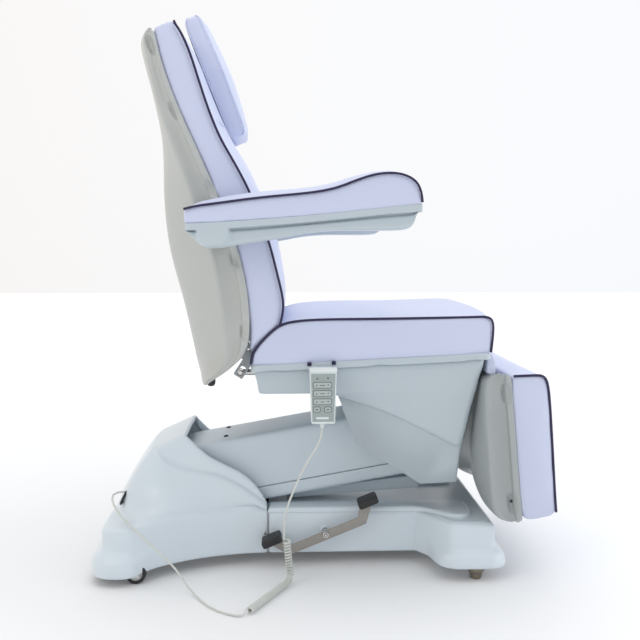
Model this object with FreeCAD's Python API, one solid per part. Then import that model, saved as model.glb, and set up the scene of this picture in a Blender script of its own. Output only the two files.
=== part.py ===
"""Facial bed: an electric treatment bed with a lift arm on an I-shaped base.

Millimetres. +X points to the foot end, +Y away from the viewer, +Z up. The floor is Z = 0.
"""
import FreeCAD
import Part
import math
import os

V = FreeCAD.Vector
RUN = 0.05  # radial clearance of a shaft in its bore
WALL = 4.0  # thickness of the moulded shells
UP_Y = V(0, -1, 0)  # turning about this axis raises the foot end

# Base
SEAM_X = -140.0
SPINE_HALF = 150.0
SPINE_BOTTOM = 30.0
SPINE_TOP = 150.0
FOOT_HALF = 270.0
FOOT_FRONT = 424.0
FOOT_BACK = -538.0
FOOT_TOP = 144.0
REAR_FOOT_TOP = 132.0
FLANGE_GROW = 24.0
FLANGE_TOP = 74.0
FLANGE_BOTTOM = 28.0
HUMP_HALF = 140.0
HUMP_LIP_X = -352.0
RAIL_Y = 115.0
RAIL_WIDE = 25.0
RAIL_Z = (40.0, 80.0)
CROSS_Z = (54.0, 84.0)
CROSS_HALF = 278.0
AXLE_Z = (52.0, 68.0)
GLAND = (-504.0, -114.0, 188.0)

# Lift arm
ARM_PIVOT = (-300.0, 218.0)
SEAT_PIVOT = (250.0, 315.0)
LINK_RISE = 50.0
ARM_HALF = 100.0
ARM_TALL = 86.0
ARM_SEAM = -50.0
ARM_SKIN = 2.5
ARM_LENGTH = math.hypot(SEAT_PIVOT[0] - ARM_PIVOT[0], SEAT_PIVOT[1] - ARM_PIVOT[1])
ARM_SLOPE = math.degrees(math.atan2(SEAT_PIVOT[1] - ARM_PIVOT[1], SEAT_PIVOT[0] - ARM_PIVOT[0]))
ARM_TAIL = -62.0
ARM_TOP_END = 462.0
SCREWS = ((84.0, -52.0), (84.0, 52.0))
LIFT_RANGE = 36.0
LEVER_DROP = 107.0
LEVER_Y = 30.0
ACTUATOR_R = 22.0
ROD_R = 9.0

# Seat, back and leg rest
HALF = 290.0
RIM_HALF = 300.0
BACK_HINGE = (-174.0, 548.0)
LEG_HINGE = (410.0, 520.0)
HINGE_R = 8.0
LUG_Y = 195.0
LUG_THICK = 10.0
BACK_RANGE = 66.0
LEG_RANGE = 83.0
BACK_DROP = 58.0
LEG_DROP = 40.0
BACK_ROD_Y = -60.0
LEG_ROD_Y = 60.0
ARMREST_HINGE = (-255.0, 850.0)
ARMREST_IN = 306.0
ARMREST_OUT = 402.0
PIN_R = 12.0

# Castors, feet, pedal
CASTOR_X = -460.0
CASTOR_Y = 260.0
CASTOR_R = 25.0
FOOT_X = 376.0
PEDAL = (7.5, 90.0)
PEDAL_Y = -178.0
PEDAL_TILT = 22.0
CARRIAGE = (260.0, 62.0)
CRANK_R = 70.0
CRANK_Y = -85.0
CRANK_ANGLE = math.radians(200)
CRANK_END = (PEDAL[0] + CRANK_R * math.cos(CRANK_ANGLE), PEDAL[1] + CRANK_R * math.sin(CRANK_ANGLE))
PEDAL_REACH = 136.0
PEDAL_RISE = 42.0
BAR_TALL = 23.0
BAR_THICK = 5.0
WHEEL = (332.0, 34.4)

# Handset and cord
HANDSET_X = -7.5
HANDSET_Y = -306.0
HANDSET_TOP = 536.0
HANDSET_LOW = 402.0
CORD_R = 2.3
COIL_R = 6.9


def box(x0, x1, y0, y1, z0, z1):
    return Part.makeBox(x1 - x0, y1 - y0, z1 - z0, V(x0, y0, z0))


def both(y0, y1):
    """The two mirrored spans of a pair."""
    return ((y0, y1), (-y1, -y0))


def along_y(point, radius, y0, y1):
    return Part.makeCylinder(radius, y1 - y0, V(point[0], y0, point[1]), V(0, 1, 0))


def along_x(y, z, radius, x0, x1):
    return Part.makeCylinder(radius, x1 - x0, V(x0, y, z), V(1, 0, 0))


def side_plate(points, y0, y1):
    """A plate drawn in side view and given its thickness across the bed."""
    wire = Part.makePolygon([V(x, y0, z) for x, z in points + points[:1]])
    return Part.Face(wire).extrude(V(0, y1 - y0, 0))


def rounded(points, radii, place):
    """A closed outline of lines and arcs; place turns a flat point into a space point."""
    count = len(points)
    starts, ends, middles = [], [], []
    for i in range(count):
        here = FreeCAD.Vector(points[i][0], points[i][1], 0)
        before = (FreeCAD.Vector(points[i - 1][0], points[i - 1][1], 0) - here).normalize()
        after = points[(i + 1) % count]
        after = (FreeCAD.Vector(after[0], after[1], 0) - here).normalize()
        half = before.getAngle(after) / 2
        reach = radii[i] / math.tan(half)
        bisector = (before + after).normalize()
        depth = radii[i] / math.sin(half) - radii[i]
        starts.append(here + before * reach)
        ends.append(here + after * reach)
        middles.append(here + bisector * depth)
    edges = []
    for i in range(count):
        if radii[i] > 0:
            arc = [place(p.x, p.y) for p in (starts[i], middles[i], ends[i])]
            edges.append(Part.Arc(*arc).toShape())
        nxt = starts[(i + 1) % count]
        edges.append(Part.makeLine(place(ends[i].x, ends[i].y), place(nxt.x, nxt.y)))
    return Part.Wire(edges)


def plan_block(points, radii, z0, z1):
    """A block drawn from above."""
    wire = rounded(points, radii, lambda x, y: V(x, y, z0))
    return Part.Face(wire).extrude(V(0, 0, z1 - z0))


def side_block(points, radii, y0, y1):
    """A block with rounded corners drawn in side view."""
    wire = rounded(points, radii, lambda x, z: V(x, y0, z))
    return Part.Face(wire).extrude(V(0, y1 - y0, 0))


def loft(wires):
    return Part.makeLoft(wires, True, True)


def level_wire(points, z):
    ring = [V(x, y, z) for x, y in points]
    return Part.makePolygon(ring + ring[:1])


def join(shapes):
    return shapes[0].fuse(shapes[1:]).removeSplitter()


def across(points):
    """An outline seen from above, given for one side, closed by its mirror image."""
    return points + [(x, -y) for x, y in reversed(points)]


def square_tube(x0, x1, y0, y1, z0, z1, wall=3.0):
    """A square tube along X."""
    return box(x0, x1, y0, y1, z0, z1).cut(
        box(x0 - 1, x1 + 1, y0 + wall, y1 - wall, z0 + wall, z1 - wall)
    )


def square_tube_across(x0, x1, y0, y1, z0, z1, wall=3.0):
    """A square tube along Y."""
    return box(x0, x1, y0, y1, z0, z1).cut(
        box(x0 + wall, x1 - wall, y0 - 1, y1 + 1, z0 + wall, z1 - wall)
    )


# Base covers

def front_cover_body(inset):
    """The front cover's outside, drawn in by inset on every wall."""
    half = SPINE_HALF - inset
    foot = FOOT_HALF - inset
    end = FOOT_FRONT - inset
    low = inset * 100  # the hollow runs out through the bottom
    spine = box(SEAM_X + 0.5, end - 40, -half, half, SPINE_BOTTOM - low, SPINE_TOP - inset)
    upper = across([(240, -half), (300 + inset, -foot), (end, -foot)])
    block = plan_block(upper, [40, 40, 30, 30, 40, 40], FLANGE_BOTTOM - low, FOOT_TOP - inset)
    wide = foot + FLANGE_GROW
    flange = across([(236, -half), (288 + inset, -wide), (end + 28, -wide)])
    skirt = plan_block(flange, [30, 50, 50, 50, 50, 30], FLANGE_BOTTOM - low, FLANGE_TOP - inset)
    return join([spine, block, skirt])


def rear_cover_body(inset):
    """The rear cover's outside without the hump, drawn in by inset on every wall."""
    half = SPINE_HALF - inset
    foot = FOOT_HALF - inset
    back = FOOT_BACK + inset
    low = inset * 100
    plan = across([(back, -foot), (-474, -foot), (-330, -200 + inset), (SEAM_X - 0.5, -half)])
    skirt = plan_block(plan, [26, 50, 200, 1, 1, 200, 50, 26], SPINE_BOTTOM - low, REAR_FOOT_TOP - inset)
    wide = foot + FLANGE_GROW
    plan = across([(back - 28, -wide), (-428, -wide), (-388, -half)])
    flange = plan_block(plan, [50, 50, 10, 10, 50, 50], FLANGE_BOTTOM - low, FLANGE_TOP - inset)
    bottom = across(
        [(-512 + inset, -150), (-480, -215 + inset), (-330, -196 + inset), (SEAM_X - 0.5, -half)]
    )
    side = HUMP_HALF - inset
    top = across([(-466 + inset, -side), (-420, -side), (-330, -side), (-240 - inset, -side)])
    flare = loft([level_wire(bottom, REAR_FOOT_TOP - inset - 1), level_wire(top, 246 - inset)])
    return join([skirt, flange, flare])


def hump(inset):
    """The arched housing over the tail of the lift arm."""
    back = [(-524, 130), (-495, 213), (-463, 267), (-433, 300), (HUMP_LIP_X, 337)]
    ridge = [(-312, 286), (-236, 246), (-185, 207), (-147, 167), (SEAM_X - 0.5, 150), (SEAM_X - 0.5, 130)]
    side = HUMP_HALF - inset
    if inset:
        back = [(x + inset, z - inset) for x, z in back[:-1]] + [(HUMP_LIP_X, 337 - inset)]
        ridge = [(HUMP_LIP_X, 500), (0, 500), (0, -10), (-524 + inset, -10)]
    return side_plate(back + ridge, -side, side)


def rear_base_cover():
    shell = join([rear_cover_body(0), hump(0)]).cut(rear_cover_body(WALL)).cut(hump(WALL + 6))
    return shell.cut(along_x(GLAND[1], GLAND[2], 7, -560, -440))


def front_base_cover():
    shell = front_cover_body(0).cut(front_cover_body(WALL))
    return shell.cut(along_y(PEDAL, 13, -200, -100))


def cord_gland():
    """A collar in the back of the hump that the handset cord comes out of."""
    tube = along_x(GLAND[1], GLAND[2], 6.8, GLAND[0] - 14, GLAND[0] + 26)
    flange = along_x(GLAND[1], GLAND[2], 10, GLAND[0] + 20, GLAND[0] + 26)
    return tube.fuse(flange).cut(along_x(GLAND[1], GLAND[2], CORD_R + 0.2, GLAND[0] - 20, GLAND[0] + 8))


# Base frame and what stands on it

def base_frame():
    rails = [square_tube(-500, 395, y0, y1, *RAIL_Z) for y0, y1 in both(RAIL_Y, RAIL_Y + RAIL_WIDE)]
    crosses = []
    for x in (CASTOR_X, FOOT_X):
        crosses.append(square_tube_across(x - 20, x + 20, -CROSS_HALF, CROSS_HALF, *AXLE_Z))
    floor = box(-352, -236, -RAIL_Y, RAIL_Y, RAIL_Z[0], RAIL_Z[0] + 8)
    stop = box(112, 124, -10, RAIL_Y, RAIL_Z[0], 134)
    bearing = box(PEDAL[0] - 22, PEDAL[0] + 22, -138, -95, RAIL_Z[1] - 2, PEDAL[1] + 20)
    x0, x1 = CARRIAGE[0] - 14, CARRIAGE[0] + 14
    lugs = [box(x0, x1, y0, y1, RAIL_Z[0], CROSS_Z[1]) for y0, y1 in both(50, 60)]
    bridge = box(x0, x1, -RAIL_Y, RAIL_Y, CROSS_Z[1] - 6, CROSS_Z[1])
    frame = join(rails + crosses + [floor, stop, bearing, bridge] + lugs)
    frame = frame.cut(along_y(PEDAL, 8 + RUN, -150, -50))
    return frame.cut(along_y(CARRIAGE, 6 + RUN, -70, 70))


def pivot_tower():
    """Two plates that carry the arm shaft, tied by the pin of the levelling link."""
    x, z = ARM_PIVOT
    shape = [(x - 48, 48), (x + 58, 48), (x + 26, z), (x + 16, z + 66), (x - 16, z + 66), (x - 26, z)]
    plates = [side_plate(shape, y0, y1) for y0, y1 in both(48, 58)]
    pin = along_y((x, z + LINK_RISE), 8, -58, 58)
    return join(plates + [pin]).cut(along_y(ARM_PIVOT, 15 + RUN, -70, 70))


def castor_forks():
    forks = []
    for side in (-1, 1):
        y = side * CASTOR_Y
        cheeks = []
        for off in (-14, 14):
            y0, y1 = y + off - 1.5, y + off + 1.5
            cheeks.append(box(CASTOR_X - 10, CASTOR_X + 10, y0, y1, CASTOR_R - 8, AXLE_Z[0]))
        axle = along_y((CASTOR_X, CASTOR_R), 4, y - 19, y + 19)
        forks.append(join(cheeks + [axle]))
    return Part.makeCompound(forks)


def castor_hub(side):
    y = side * CASTOR_Y
    hub = along_y((CASTOR_X, CASTOR_R), 16, y - 11, y + 11)
    return hub.cut(along_y((CASTOR_X, CASTOR_R), 4 + RUN, y - 20, y + 20))


def castor_tyre(side):
    y = side * CASTOR_Y
    tread = along_y((CASTOR_X, CASTOR_R), CASTOR_R, y - 11, y + 11)
    edges = [e for e in tread.Edges if abs(e.Length - 2 * math.pi * CASTOR_R) < 0.1]
    return tread.makeFillet(4, edges).cut(along_y((CASTOR_X, CASTOR_R), 16.02, y - 12, y + 12))


def levelling_feet():
    feet = []
    for side in (-1, 1):
        y = side * CASTOR_Y
        cone = Part.makeCone(15, 21, 26, V(FOOT_X, y, 0))
        stud = Part.makeCylinder(6, AXLE_Z[0] - 26, V(FOOT_X, y, 26))
        feet.append(cone.fuse(stud))
    return Part.makeCompound(feet)


def lift_actuator():
    z = ARM_PIVOT[1] - LEVER_DROP
    barrel = along_x(LEVER_Y, z, ACTUATOR_R, -222, 40)
    gears = box(40, 112, LEVER_Y - 24, 108, z - 34, z + 22)
    motor = along_x(82, z - 6, 26, -70, 40)
    bore = along_x(LEVER_Y, z, ROD_R + 0.4, -230, 30)
    return join([barrel, gears, motor]).cut(bore)


def lift_rod():
    """The lift actuator's rod, with the cross pin that pulls the lever."""
    z = ARM_PIVOT[1] - LEVER_DROP
    x = ARM_PIVOT[0] - LEVER_DROP * math.tan(math.radians(LIFT_RANGE / 2))
    rod = along_x(LEVER_Y, z, ROD_R, x + 8, x + 190)
    eye = along_y((x, z), 13, LEVER_Y - 7, LEVER_Y + 7)
    pin = along_y((x, z), 6, LEVER_Y - 17.5, LEVER_Y + 17.5)
    return join([rod, eye, pin])


def control_box():
    return box(150, 230, -108, 40, CROSS_Z[1] + 8, 140)


# Pedal and the transport wheels that it lowers

def pedal_turned(shape):
    shape.rotate(V(PEDAL[0], 0, PEDAL[1]), UP_Y, PEDAL_TILT)
    return shape


def pedal_bar():
    """A flat bar, level before it is turned, with both ends bent up."""
    x, z = PEDAL
    low, high = z - BAR_TALL / 2, z + BAR_TALL / 2
    bend = 88.0
    tip = PEDAL_REACH - 18
    top = z + PEDAL_RISE - 10
    shape = [
        (x - bend, low), (x + bend, low), (x + tip + 12, top), (x + tip - 12, top), (x + bend - 12, high),
        (x - bend + 12, high), (x - tip + 12, top), (x - tip - 12, top),
    ]
    bar = side_plate(shape, PEDAL_Y - BAR_THICK, PEDAL_Y)
    return pedal_turned(bar.cut(along_y(PEDAL, 6 + RUN, PEDAL_Y - 20, PEDAL_Y + 20)))


def pedal_pads():
    pads = []
    for side in (-1, 1):
        x = PEDAL[0] + side * (PEDAL_REACH - 4)
        z = PEDAL[1] + PEDAL_RISE
        corners = [(x - 25, z - 10), (x + 25, z - 10), (x + 25, z + 11), (x - 25, z + 11)]
        pads.append(pedal_turned(side_block(corners, [5, 5, 6, 6], PEDAL_Y - 34, PEDAL_Y + 18)))
    for pad in range(2):
        pads[pad] = pads[pad].cut(pedal_bar())
    return Part.makeCompound(pads)


def pedal_shaft():
    """The shaft, its screw head outside and the crank that moves the carriage inside."""
    shaft = along_y(PEDAL, 8, PEDAL_Y, CRANK_Y + 4)
    neck = along_y(PEDAL, 6, PEDAL_Y - 6, PEDAL_Y)
    head = along_y(PEDAL, 9, PEDAL_Y - 10, PEDAL_Y - BAR_THICK)
    web = leaning_bar(PEDAL, CRANK_END, 9, CRANK_Y - 4, CRANK_Y + 4)
    boss = along_y(CRANK_END, 9, CRANK_Y - 4, CRANK_Y + 4)
    pin = along_y(CRANK_END, 5, CRANK_Y - 4, CRANK_Y + 16)
    return join([shaft, neck, head, web, boss, pin])


def transport_carriage():
    """A lever that the crank lifts at its tail, so that its two wheels go down."""
    x, z = CARRIAGE
    tx, tz = CRANK_END
    y0, y1 = CRANK_Y + 5, CRANK_Y + 15
    arm = side_plate([(tx - 22, tz - 11), (x - 30, z - 14), (x - 30, z + 10), (tx - 22, tz + 11)], y0, y1)
    corners = [(tx - 14, tz - 6), (tx + 8, tz - 6), (tx + 8, tz + 6), (tx - 14, tz + 6)]
    slot = side_block(corners, [5, 5, 5, 5], y0 - 1, y1 + 1)
    tie = box(x - 36, x - 18, y0, 48, z - 10, z + 8)
    wx, wz = WHEEL
    cheek = [(x - 30, z - 11), (wx + 9, wz - 7), (wx + 9, wz + 9), (x - 30, z + 10)]
    cheeks = [side_plate(cheek, a, b) for a, b in both(40, 48)]
    shaft = along_y(CARRIAGE, 6, -62, 62)
    axle = along_y(WHEEL, 5, -76, 76)
    return join([arm.cut(slot), tie, shaft, axle] + cheeks)


def transport_wheels():
    wheels = []
    for y0, y1 in both(52, 74):
        wheel = along_y(WHEEL, 24, y0, y1).cut(along_y(WHEEL, 5 + RUN, y0 - 1, y1 + 1))
        wheels.append(wheel)
    return Part.makeCompound(wheels)


# Lift arm

def on_arm(shape):
    """Places a shape drawn along X from the arm's pivot."""
    shape.rotate(V(0, 0, 0), UP_Y, ARM_SLOPE)
    shape.translate(V(ARM_PIVOT[0], 0, ARM_PIVOT[1]))
    return shape


def arm_frame():
    rails = []
    for y0, y1 in both(70, 90):
        rails.append(square_tube(-24, ARM_LENGTH + 26, y0, y1, -30, 30))
    ties = [along_y((x, -16), 12, -71, 71) for x in (200, 360)]
    bores = [along_y((0, 0), 15.02, -95, 95), along_y((ARM_LENGTH, 0), 12.02, -95, 95)]
    return on_arm(join(rails + ties).cut(bores[0]).cut(bores[1]))


def arm_shafts():
    """The rear shaft with the lift lever's hub, and the front shaft that carries the seat."""
    rear = along_y((0, 0), 15, -94, 94)
    front = along_y((ARM_LENGTH, 0), 12, -122, 122)
    return on_arm(Part.makeCompound([rear, front]))


def lift_lever():
    """Two plates on the rear shaft; the rod's pin runs in their slots."""
    lean = 180 + 90 - LIFT_RANGE / 2
    centre = V(ARM_PIVOT[0], 0, ARM_PIVOT[1])
    long = LEVER_DROP / math.cos(math.radians(LIFT_RANGE / 2))
    turn = FreeCAD.Rotation(UP_Y, lean)
    plates = []
    for y0, y1 in ((LEVER_Y - 17, LEVER_Y - 10), (LEVER_Y + 10, LEVER_Y + 17)):
        bar = box(0, long + 14, y0, y1, -17, 17)
        corners = [(long - 16, -6.8), (long + 8, -6.8), (long + 8, 6.8), (long - 16, 6.8)]
        plates.append(bar.cut(side_block(corners, [6, 6, 6, 6], y0 - 1, y1 + 1)))
    hub = along_y((0, 0), 24, LEVER_Y - 17, LEVER_Y + 17)
    lever = join(plates + [hub]).cut(along_y((0, 0), 15.02, -60, 60))
    lever.Placement = FreeCAD.Placement(centre, turn)
    return lever


def arm_upper_cover():
    low = ARM_SEAM + 0.5
    outer = [(ARM_TAIL, low), (ARM_LENGTH - 20, low), (ARM_TOP_END, ARM_TALL), (ARM_TAIL, ARM_TALL)]
    skin = side_block(outer, [0, 0, 12, 20], -ARM_HALF, ARM_HALF)
    inside = ARM_HALF - ARM_SKIN
    hollow = box(ARM_TAIL - 1, ARM_LENGTH, -inside, inside, ARM_SEAM - 1, ARM_TALL - ARM_SKIN)
    cover = skin.cut(hollow)
    for x, y in SCREWS:
        cover = cover.cut(Part.makeCylinder(2.2, 20, V(x, y, ARM_TALL - 10)))
    return on_arm(cover)


def arm_cover_screws():
    screws = []
    for x, y in SCREWS:
        head = Part.makeCylinder(4.5, 2.4, V(x, y, ARM_TALL))
        stem = Part.makeCylinder(2.1, 12, V(x, y, ARM_TALL - 12))
        screws.append(head.fuse(stem))
    return on_arm(Part.makeCompound(screws))


def arm_lower_cover():
    start = 84.0
    inside = ARM_HALF - ARM_SKIN
    end = ARM_LENGTH - 20
    outer = [(start, -ARM_TALL), (end - 14, -ARM_TALL), (end, ARM_SEAM), (start, ARM_SEAM)]
    skin = side_plate(outer, -ARM_HALF, ARM_HALF)
    return on_arm(skin.cut(box(start - 1, ARM_LENGTH, -inside, inside, -ARM_TALL + ARM_SKIN, 0)))


def level_link():
    """The upper bar of the parallel linkage that keeps the seat level."""
    bar = box(0, ARM_LENGTH, -7, 7, -11, 11)
    eyes = [along_y((x, 0), 15, -7, 7) for x in (0, ARM_LENGTH)]
    link = join([bar] + eyes)
    link = link.cut(along_y((0, 0), 8 + RUN, -20, 20)).cut(along_y((ARM_LENGTH, 0), 8.6, -20, 20))
    link.rotate(V(0, 0, 0), UP_Y, ARM_SLOPE)
    link.translate(V(ARM_PIVOT[0], 0, ARM_PIVOT[1] + LINK_RISE))
    return link


# Seat

SEAT_REAR_LOW = (-178.0, 534.0)
SEAT_FRONT_LOW = (402.0, 562.0)
RIM_DEEP = 18.0
TRAY_BOTTOM = 463.0


def seat_cushion():
    wires = []
    for y in (-HALF, -220, -110, 0, 110, 220, HALF):
        share = 1 - (y / HALF) ** 2
        points = [
            (SEAT_REAR_LOW[0] + 2, SEAT_REAR_LOW[1] + 3), (SEAT_FRONT_LOW[0] - 2, SEAT_FRONT_LOW[1] + 3),
            (SEAT_FRONT_LOW[0] - 2 + 5 * share, 646 + 16 * share), (-97, 632 + 4 * share), (-172, 572),
        ]
        wires.append(rounded(points, [0, 0, 38, 50, 24], lambda a, b, y=y: V(a, y, b)))
    cushion = loft(wires)
    for y0, y1 in both(LUG_Y - 4, LUG_Y + 28):
        cushion = cushion.cut(box(-200, BACK_HINGE[0] + 34, y0, y1, 500, BACK_HINGE[1] + 26))
        cushion = cushion.cut(box(LEG_HINGE[0] - 26, 440, y0, y1, 500, 580))
    return cushion.cut(box(-200, -146, BACK_ROD_Y - 20, BACK_ROD_Y + 20, 500, BACK_HINGE[1] + 24))


def tray(inset):
    """The shallow upper part of the seat shell."""
    low = TRAY_BOTTOM + inset
    half = RIM_HALF - 14 - inset
    top = [(-172 + inset, -half), (394 - inset, -half)]
    bottom = [(-158 + inset, -half + 30), (377 - inset, -half + 30)]
    wires = []
    for ring, lift in ((bottom, low), (top, None)):
        corners = [ring[0], ring[1], (ring[1][0], -ring[1][1]), (ring[0][0], -ring[0][1])]
        line = []
        for x, y in corners:
            rim = SEAT_REAR_LOW[1] + (x - SEAT_REAR_LOW[0]) * SEAT_SLOPE
            line.append(V(x, y, lift if lift else rim - RIM_DEEP + inset * 20))
        wires.append(Part.makePolygon(line + line[:1]))
    return loft(wires)


SEAT_SLOPE = (SEAT_FRONT_LOW[1] - SEAT_REAR_LOW[1]) / (SEAT_FRONT_LOW[0] - SEAT_REAR_LOW[0])
SKIRT = [(33, 470), (52, 406), (80, 334), (240, 230), (334, 234), (345, 322), (374, 460), (376, 470)]
SKIRT_HALF = 215.0


def seat_shell():
    rear, front = SEAT_REAR_LOW, SEAT_FRONT_LOW
    deep = RIM_DEEP
    corners = [(rear[0], rear[1] - deep), (front[0], front[1] - deep), front, rear]
    rim = side_plate(corners, -RIM_HALF, RIM_HALF)
    inner = [(rear[0] + 10, 400), (front[0] - 10, 400), (front[0] - 10, 700), (rear[0] + 10, 700)]
    rim = rim.cut(side_plate(inner, -RIM_HALF + 10, RIM_HALF - 10))
    skirt = side_plate(SKIRT, -SKIRT_HALF, SKIRT_HALF)
    hollow = [(-20, 480), (30, 220), (300, 220)]
    hollow += [(334 - WALL, 226), (345 - WALL, 322), (374 - WALL, 460), (374, 480)]
    skirt = skirt.cut(side_plate(hollow, -SKIRT_HALF + WALL, SKIRT_HALF - WALL))
    upper = tray(0).cut(tray(WALL)).cut(box(36, 366, -SKIRT_HALF + WALL, SKIRT_HALF - WALL, 440, 480))
    shell = join([rim, upper, skirt])
    for y0, y1 in both(LUG_Y - 4, LUG_Y + 28):
        shell = shell.cut(box(-200, -140, y0, y1, 455, 600)).cut(box(360, 440, y0, y1, 470, 600))
    shell = shell.cut(box(-200, -140, BACK_ROD_Y - 24, BACK_ROD_Y + 24, 455, 600))
    shell = shell.cut(box(345, 440, LEG_ROD_Y - 24, LEG_ROD_Y + 24, 455, 600))
    return shell.cut(box(HANDSET_X - 31, HANDSET_X + 31, -RIM_HALF - 1, -RIM_HALF + 8, 500, 560))


FRAME_Z = (478.0, 518.0)
PLATE_LOW = 510.0


def hinge_lugs(point, outline):
    """A pair of plates from the seat frame out to a hinge, with its pins."""
    lugs = [side_plate(outline, y0, y1) for y0, y1 in both(LUG_Y - 1, LUG_Y + LUG_THICK)]
    pins = [along_y(point, HINGE_R, y0, y1) for y0, y1 in both(LUG_Y, LUG_Y + 2 * LUG_THICK + 6)]
    return lugs + pins


def seat_frame():
    """Two rails, flat cross plates over the actuators, hangers for the arm and lugs for the hinges."""
    low, high = FRAME_Z
    rails = [square_tube(-150, 368, y0, y1, low, high) for y0, y1 in both(170, LUG_Y)]
    crosses = [box(x, x + 40, -171, 171, PLATE_LOW, high) for x in (-110, 20)]
    x, z = SEAT_PIVOT
    crosses.append(box(x - 120, x + 75, -171, 171, PLATE_LOW, high))
    hanger = [
        (x - 20, z - 20), (x + 20, z - 20), (x + 70, low), (x + 70, PLATE_LOW + 1),
        (x - 120, PLATE_LOW + 1), (x - 120, low), (x - 20, z + 30),
    ]
    hangers = [side_plate(hanger, y0, y1) for y0, y1 in both(106, 118)]
    lug = [
        (x - 18, z + LINK_RISE - 16), (x + 18, z + LINK_RISE - 16), (x + 50, low), (x + 50, PLATE_LOW + 1),
        (x - 40, PLATE_LOW + 1), (x - 40, low),
    ]
    lugs = [side_plate(lug, y0, y1) for y0, y1 in both(12, 22)]
    pin = along_y((x, z + LINK_RISE), 8, -22, 22)
    bx, bz = BACK_HINGE
    back = [
        (-146, low), (-112, low), (-112, low + 25), (bx + 14, bz + 12), (bx - 14, bz + 12),
        (bx - 14, bz - 14),
    ]
    lx, lz = LEG_HINGE
    leg = [
        (340, low), (380, low), (lx + 12, lz - 12), (lx + 12, lz + 12), (lx - 14, lz + 12), (340, low + 25),
    ]
    ends = hinge_lugs(BACK_HINGE, back) + hinge_lugs(LEG_HINGE, leg)
    frame = join(rails + crosses + hangers + lugs + [pin] + ends)
    return frame.cut(along_y(SEAT_PIVOT, 12 + RUN, -130, 130))


def flat_actuator(y, z, x0, x1, motor):
    """An actuator lying in the seat: barrel from x0 to x1, gears and motor beyond."""
    step = math.copysign(1, x1 - x0)
    low, high = sorted((x0, x1))
    barrel = along_x(y, z, 15, low, high)
    far = x1 + step * 46
    gears = box(min(x1, far), max(x1, far), y - 16, y + 16, z - 15, z + 18)
    end = far + step * motor
    motor_can = along_x(y, z + 2, 15, min(far, end), max(far, end))
    bore = along_x(y, z, ROD_R - 1 + 0.4, low - 6 * step, high - 6 * step)
    return join([barrel, gears, motor_can]).cut(bore)


def slide_rod(x, y, z, tip):
    """A rod with its cross pin at x, its far end at tip."""
    low, high = sorted((x, tip))
    rod = along_x(y, z, ROD_R - 1, low, high)
    eye = along_y((x, z), 10, y - 6, y + 6)
    return join([rod, eye, along_y((x, z), 5, y - 15, y + 15)])


BACK_ROD_Z = BACK_HINGE[1] - BACK_DROP
LEG_ROD_Z = LEG_HINGE[1] - LEG_DROP
BACK_ROD_X = BACK_HINGE[0] - BACK_DROP * math.tan(math.radians(BACK_RANGE / 2))
LEG_ROD_X = LEG_HINGE[0] - LEG_DROP * math.tan(math.radians(LEG_RANGE / 2))


def lever_spans(y):
    """Where the two plates of a slotted lever stand, either side of its rod."""
    return ((y - 14, y - 8), (y + 8, y + 14))


def rocker_lever(hinge, drop, span, y, clear):
    """Two slotted plates that hang from a hinge, leaning back by half the hinge's range."""
    lean = 270 - span / 2
    long = drop / math.cos(math.radians(span / 2))
    plates = []
    for y0, y1 in lever_spans(y):
        bar = box(-12, long + 12, y0, y1, -13, 13)
        half = 5 + clear
        corners = [(drop - 8, -half), (long + 6.5, -half), (long + 6.5, half), (drop - 8, half)]
        plates.append(bar.cut(side_block(corners, [5, 5, 5, 5], y0 - 1, y1 + 1)))
    turn = FreeCAD.Rotation(UP_Y, lean)
    for plate in plates:
        plate.Placement = FreeCAD.Placement(V(hinge[0], 0, hinge[1]), turn)
    return plates


# Backrest

LIP_LINE = [
    (-183, 568), (-179, 689), (-205, 807), (-251, 926), (-302, 1044), (-352, 1162), (-394, 1276),
    (-399, 1306),
]
PIPE_LINE = [
    (-106, 634), (-98, 690), (-116, 769), (-131, 830), (-172, 937), (-200, 992), (-251, 1072), (-294, 1186),
    (-322, 1276), (-340, 1320),
]
BACK_SHELL = (
    (480, -281, -288, -300), (523, -241, -252, -312), (571, -192, -233, -322), (690, -181, -250, -347),
    (806, -206, -269, -382), (926, -252, -315, -399), (1044, -303, -355, -398), (1122, -336, -381, -401),
    (1276, -395, -416, -438), (1314, -402, -424, -446),
)
REAR_FLAT = 170.0


def back_cushion():
    wires = []
    for y in (-HALF, -220, -110, 0, 110, 220, HALF):
        share = 1 - (y / HALF) ** 2
        front = []
        for i, (x, z) in enumerate(PIPE_LINE):
            inner = 0 < i < len(PIPE_LINE) - 1
            out = (22 if inner else 6) * share
            front.append((x + out * 0.93, z + out * 0.36))
        ring = [V(x, y, z) for x, z in list(reversed(LIP_LINE)) + front]
        ring.append(V(-372, y, 1328 + 8 * share))
        wires.append(Part.makePolygon(ring + ring[:1]))
    cushion = loft(wires)
    for y in HEAD_PEG_Y:
        cushion = cushion.cut(head_peg(y, 6 + 0.4, 3))
    return cushion


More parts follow.
